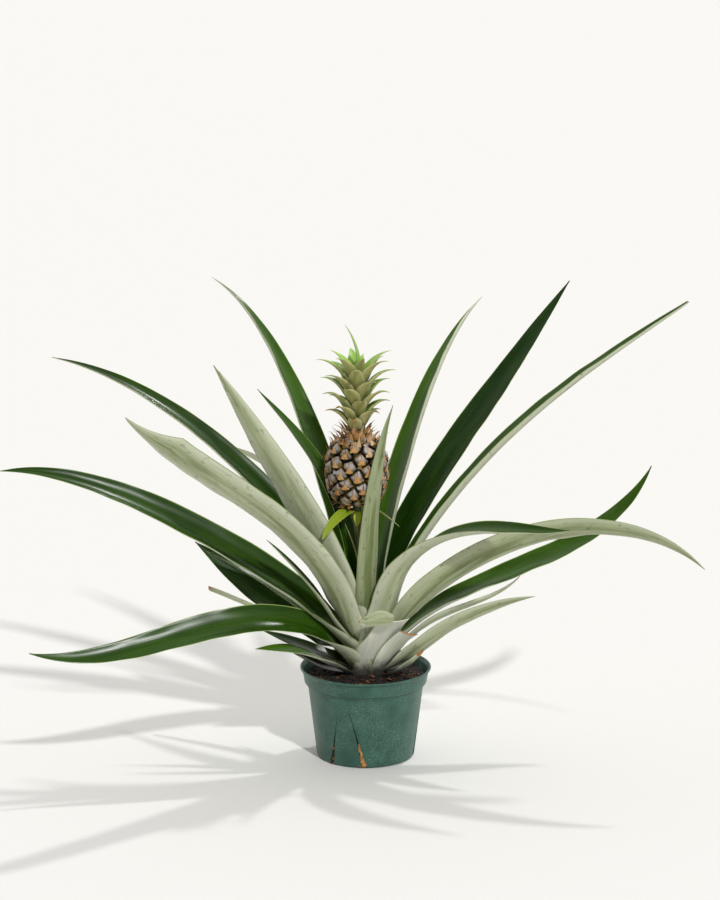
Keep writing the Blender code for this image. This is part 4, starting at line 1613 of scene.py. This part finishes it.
@dataclass
class Stage:
    """A plain pale floor, soft light all round, two lamps and the camera."""

    camera_place: tuple[float, float, float] = (-0.0066, -3.167, 1.070)
    camera_pitch: float = 12.5
    camera_lens: float = 112.0
    floor_radius: float = 30.0
    floor_drop: float = 0.0002  # below the pot, so that the two don't flicker
    sky: str = "fbfaf8"
    sky_strength: float = 1.0
    front_strength: float = 0.30
    # Each light's kind, the way to it, its irradiance, and the angle it fills.
    lights: tuple[tuple[LightKind, tuple[float, float, float], float, float], ...] = (
        (LightKind.BACK, (0.40, 0.50, 1.0), 1.1, 2.5),
        (LightKind.FRONT, (0.42, -1.0, 0.95), 2.0, 3.0),
    )

    def build(self) -> None:
        """Lay the floor, hang the lights and set the camera."""
        shape = bmesh.new()
        bmesh.ops.create_circle(shape, cap_ends=True, segments=64, radius=self.floor_radius)
        floor = new_object("floor", shape)
        floor.data.materials.append(FloorFinish().build("white_board"))
        floor.location.z = -self.floor_drop
        world = bpy.data.worlds.new("studio")
        world.use_nodes = True
        tree = world.node_tree
        backdrop = tree.nodes["Background"]
        backdrop.inputs["Color"].default_value = linear(self.sky)
        toward = add(tree, "SeparateXYZ", {0: add(tree, "TexCoord").outputs["Generated"]})
        glow = add(
            tree, "MapRange",
            {
                "Value": toward.outputs[1], "From Min": -0.6, "From Max": 0.5,
                "To Min": self.front_strength, "To Max": self.sky_strength,
            },
            interpolation_type="SMOOTHSTEP",
        )
        tree.links.new(glow.outputs[0], backdrop.inputs["Strength"])
        bpy.context.scene.world = world
        for kind, toward, strength, spread in self.lights:
            self.add_sun(kind, Vector(toward), strength, spread)
        lens = bpy.data.cameras.new("camera")
        lens.lens = self.camera_lens
        lens.dof.use_dof = False
        camera = bpy.data.objects.new("camera", lens)
        camera.location = self.camera_place
        camera.rotation_euler = (math.radians(90 - self.camera_pitch), 0.0, 0.0)
        bpy.context.scene.collection.objects.link(camera)
        bpy.context.scene.camera = camera
        bpy.context.scene.view_settings.view_transform = "Standard"

    def add_sun(self, kind: LightKind, toward: Vector, strength: float, spread: float) -> None:
        """Add one distant lamp.

        Args:
            kind: which lamp it is.
            toward: the direction from the plant to it.
            strength: its irradiance in watts per square metre.
            spread: the angle it fills, in degrees, which softens its shadows.
        """
        lamp = bpy.data.lights.new(f"{kind.value}_light", "SUN")
        lamp.energy = strength
        lamp.angle = math.radians(spread)
        light = bpy.data.objects.new(f"{kind.value}_light", lamp)
        light.rotation_euler = toward.to_track_quat("Z", "Y").to_euler()
        bpy.context.scene.collection.objects.link(light)


def main() -> None:
    """Build the stage, then the plant from its pot up, sized by the frame's boxes."""
    logging.basicConfig(level=logging.INFO, format="%(message)s")
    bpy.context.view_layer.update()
    Stage().build()
    _, pot_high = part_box("pot")
    _, mix_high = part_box("potting_mix")
    pot = Pot(height=pot_high.z, rim_radius=pot_high.x)
    pot.build()
    PottingMix(top=mix_high.z, radius=mix_high.x, pot=pot).build()
    _, stem_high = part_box("stem")
    Rosette(mix_top=mix_high.z, stem_foot_radius=stem_high.x).build()
    fruit_low, fruit_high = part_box("fruit")
    fruit_foot = Vector(((fruit_low.x + fruit_high.x) / 2, (fruit_low.y + fruit_high.y) / 2, fruit_low.z))
    Stalk(foot=Vector((0.0, 0.0, stem_high.z)), top=fruit_foot.copy()).build()
    eyes_foot = fruit_foot + UP * FRUIT_SKIRT
    Fruit(
        foot=eyes_foot,
        radius=(fruit_high.x - fruit_low.x) / 2 - SCALE_STAND,
        height=fruit_high.z - eyes_foot.z - FRUIT_NECK,
        neck=FRUIT_NECK,
    ).build()
    core_low, core_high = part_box("crown_core")
    crown_foot = Vector((fruit_foot.x, fruit_foot.y, core_low.z))
    Crown(
        foot=crown_foot, core_radius=(core_high.x - core_low.x) / 2, core_height=core_high.z - core_low.z
    ).build()


if __name__ == "__main__":
    main()
